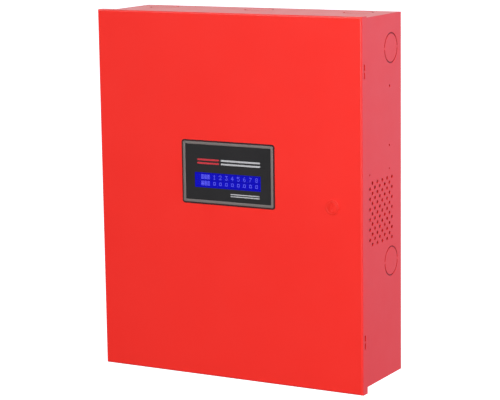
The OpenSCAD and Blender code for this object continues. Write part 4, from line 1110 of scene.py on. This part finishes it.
def surface_parts():
    """Rows of resistors, diodes and small capacitors in the clear areas of the boards."""
    resistor = small_part("resistor", 3.2, 1.6, 0.55, 0.5)
    ceramic = small_part("ceramic", 3.2, 2.2, 1.1, 0.5)
    diode = small_part("diode", 4.6, 2.7, 1.6, 0.4)
    logic_y, lcd_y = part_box("logic_board")[0].y / MM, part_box("lcd_board")[1].y / MM
    # Each row: its board, the part and its finish, the row's middle and size in mm, then its columns, rows,
    # share of filled places and seed
    for name, cad, shape, finish, x, y, z, wide, high, columns, rows, share, seed in (
        ("relay_diodes", "logic_board", diode, CHIP_RESIN, -134, logic_y, 114, 7, 112, 2, 9, 0.9, 3),
        ("lamp_resistors", "logic_board", resistor, CHIP_RESIN, -49, logic_y, 100, 7, 98, 2, 15, 0.85, 4),
        ("input_resistors", "logic_board", resistor, CHIP_RESIN, -132, logic_y, -30, 34, 30, 7, 9, 0.7, 5),
        ("chip_ceramics", "logic_board", ceramic, NATURAL_NYLON, -134, logic_y, 14, 30, 36, 5, 6, 0.5, 6),
        ("chip_resistors", "logic_board", resistor, CHIP_RESIN, -66, logic_y, -42, 40, 12, 8, 4, 0.7, 7),
        ("power_resistors", "power_board", resistor, CHIP_RESIN, 20, logic_y, 4, 22, 74, 4, 14, 0.6, 8),
        ("power_ceramics", "power_board", ceramic, NATURAL_NYLON, 80, logic_y, -44, 34, 10, 6, 3, 0.7, 9),
        ("power_diodes", "power_board", diode, CHIP_RESIN, 126, logic_y, 84, 10, 100, 2, 11, 0.6, 10),
        ("display_resistors", "lcd_board", resistor, CHIP_RESIN, 6, lcd_y, 37, 70, 3, 15, 2, 0.6, 11),
    ):
        values = {"Width": wide * MM, "Height": high * MM, "Columns": columns, "Rows": rows, "Share": share}
        values |= {"Shift": 0.5 * MM, "Seed": seed, "Centre": Vector((x, y, z)) * MM}
        for form, skin, suffix in ((shape[0], finish, ""), (shape[1], TIN, "_tags")):
            mesh = grown(name + suffix, ROWS, values | {"Shape": form, "Finish": skin})
            keep(name + suffix, mesh, body_of(cad), skin)


def display_driver_blobs():
    """The display board's drivers: bare chips under two round domes of black resin."""
    start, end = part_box("lcd_board")
    wide, high = 8.5 * MM, 1.5 * MM
    bm = bmesh.new()
    for share in (0.45, 0.72):
        place = Vector((start.x + share * (end.x - start.x), end.y, (start.z + end.z) / 2))
        add_turned(bm, place, (0, 1, 0), [*dome_profile(wide, high), (0.3 * MM, high)], 28)
    mesh = from_bmesh("display_driver_blobs", bm, 50)
    keep("display_driver_blobs", mesh, "door", CHIP_RESIN)


# ---------------------------------------------------------------- camera, light and stage

CAMERA_PLACE = (1.1634, -2.1485, 0.4103)
CAMERA_YAW, CAMERA_PITCH, CAMERA_ROLL = (math.radians(a) for a in (29.13, 9.99, -0.81))
LENS_MM, SENSOR_MM = 138.8, 36.0
AIM = Vector((0.0, -0.06, 0.0))
FLOOR_HALF_WIDTH, FLOOR_HEIGHT = 30.0, -1.1


def studio_camera():
    """A long lens, from the right of the door and a little above it."""
    yaw, pitch, roll = CAMERA_YAW, CAMERA_PITCH, CAMERA_ROLL
    ahead = Vector((-math.sin(yaw) * math.cos(pitch), math.cos(yaw) * math.cos(pitch), -math.sin(pitch)))
    right = Vector((math.cos(yaw), math.sin(yaw), 0.0))
    up = right.cross(ahead)
    side = math.cos(roll) * right + math.sin(roll) * up
    top = math.cos(roll) * up - math.sin(roll) * right
    data = bpy.data.cameras.new("studio_camera")
    data.lens = LENS_MM
    data.sensor_width = SENSOR_MM
    camera = bpy.data.objects.new("studio_camera", data)
    turn = Matrix((side, top, -ahead)).transposed().to_4x4()
    camera.matrix_world = Matrix.Translation(CAMERA_PLACE) @ turn
    bpy.context.collection.objects.link(camera)
    bpy.context.scene.camera = camera


def studio_world():
    """A white surround: bright behind, above and to the sides, dimmer towards the front and below."""
    world = bpy.data.worlds.new("studio")
    world.use_nodes = True
    bpy.context.scene.world = world
    tree = world.node_tree
    tree.nodes.clear()
    way = node(tree, "ShaderNodeTexCoord").outputs["Generated"]
    split = node(tree, "ShaderNodeSeparateXYZ", {"Vector": way}).outputs
    levels = []
    # Each level: an axis of direction, the stretch of it over which the level changes, and its two ends
    for axis, start, end, low, high in (
        ("Y", -0.6, 0.2, 0.06, 1.12),
        ("X", -0.45, -0.8, 0.0, 0.35),
        ("Z", -0.4, -0.05, 0.35, 1.0),
        ("Z", 0.25, 0.85, 1.0, 0.6),
        ("X", 0.0, 0.45, 1.0, 1.16),
        ("X", 0.0, 0.45, 0.0, 1.0),
    ):
        steps = {"Value": split[axis], "From Min": start, "From Max": end, "To Min": low, "To Max": high}
        levels.append(node(tree, "ShaderNodeMapRange", steps, interpolation_type="SMOOTHSTEP"))
    behind, left, below, overhead, brighter, right = levels
    level = node(tree, "ShaderNodeMath", {0: behind, 1: left}, operation="MAXIMUM")
    for part in (below, overhead, brighter):
        level = node(tree, "ShaderNodeMath", {0: level, 1: part}, operation="MULTIPLY")
    tints = {0: right, 6: linear("#f8f6fa"), 7: linear("#f0dcff")}
    tint = node(tree, "ShaderNodeMix", tints, data_type="RGBA")
    lit = node(tree, "ShaderNodeBackground", {"Color": tint, "Strength": level})
    seen = node(tree, "ShaderNodeBackground", {"Color": linear("#ffffff"), "Strength": 1.0})
    eye = node(tree, "ShaderNodeLightPath").outputs["Is Camera Ray"]
    mix = node(tree, "ShaderNodeMixShader", {0: eye, 1: lit, 2: seen})
    node(tree, "ShaderNodeOutputWorld", {"Surface": mix})


def soft_box(name, place, width, height, power, mirrored=False):
    """A soft box aimed at the cabinet: it lights its colours or, if mirrored is true, only its sheen."""
    data = bpy.data.lights.new(name, "AREA")
    data.shape = "RECTANGLE"
    data.size, data.size_y = width, height
    data.energy = power
    light = bpy.data.objects.new(name, data)
    way = AIM - Vector(place)
    light.matrix_world = Matrix.Translation(place) @ way.to_track_quat("-Z", "Y").to_matrix().to_4x4()
    light.visible_glossy = mirrored
    light.visible_diffuse = not mirrored
    light.visible_transmission = False
    bpy.context.collection.objects.link(light)


def studio_floor():
    """Plain white paper, well below the cabinet, which hangs clear of it."""
    mesh = bpy.data.meshes.new("studio_floor")
    sides = ((-1, -1), (1, -1), (1, 1), (-1, 1))
    corners = [(x * FLOOR_HALF_WIDTH, y * FLOOR_HALF_WIDTH, FLOOR_HEIGHT) for x, y in sides]
    mesh.from_pydata(corners, [], [(0, 1, 2, 3)])
    material, tree, shader, place = surface("studio_paper", "#fbfbfb", 0.9, Emission_Strength=0.8)
    mottle(tree, shader, place, 2000, "#f9f9f9", "#fdfdfd")
    shader.inputs["Emission Color"].default_value = linear("#ffffff")
    mesh.materials.append(material)
    floor = bpy.data.objects.new("studio_floor", mesh)
    floor.visible_glossy = False
    floor.visible_diffuse = False
    floor.visible_transmission = False
    floor.visible_shadow = False
    bpy.context.collection.objects.link(floor)


def plain_colour_output():
    """sRGB with no tone curve, so that a finish shows the colour it is given."""
    view = bpy.context.scene.view_settings
    view.view_transform = "Standard"
    view.look = "None"


# ---------------------------------------------------------------- making it

plain_colour_output()
studio_camera()
studio_world()
soft_box("key_light", (0.5, -3.2, 0.8), 2.0, 2.0, 98.0)
soft_box("side_light", (1.45, -1.25, 0.62), 0.9, 0.9, 14.0)
soft_box("edge_strip", (1.15, -2.65, 0.55), 0.12, 1.8, 30.0, mirrored=True)
soft_box("top_strip", (-1.0, -2.1, 1.9), 0.9, 0.2, 30.0, mirrored=True)
studio_floor()

finish_carried_over()
ease_edges()
bezel()
bezel_gasket()
knockout_grooves()
display_characters()
printed_rules()
battery_leads()
supply_wires()
earth_wire()
display_ribbon()
capacitors("bulk_capacitors")
capacitors("output_capacitors")
lamps("output_lamps", LAMP_RED)
lamps("power_lamp", LAMP_GREEN)
glass_fuse()
choke_windings()
surface_parts()
display_driver_blobs()

for shape in patterns:
    bpy.data.objects.remove(shape)
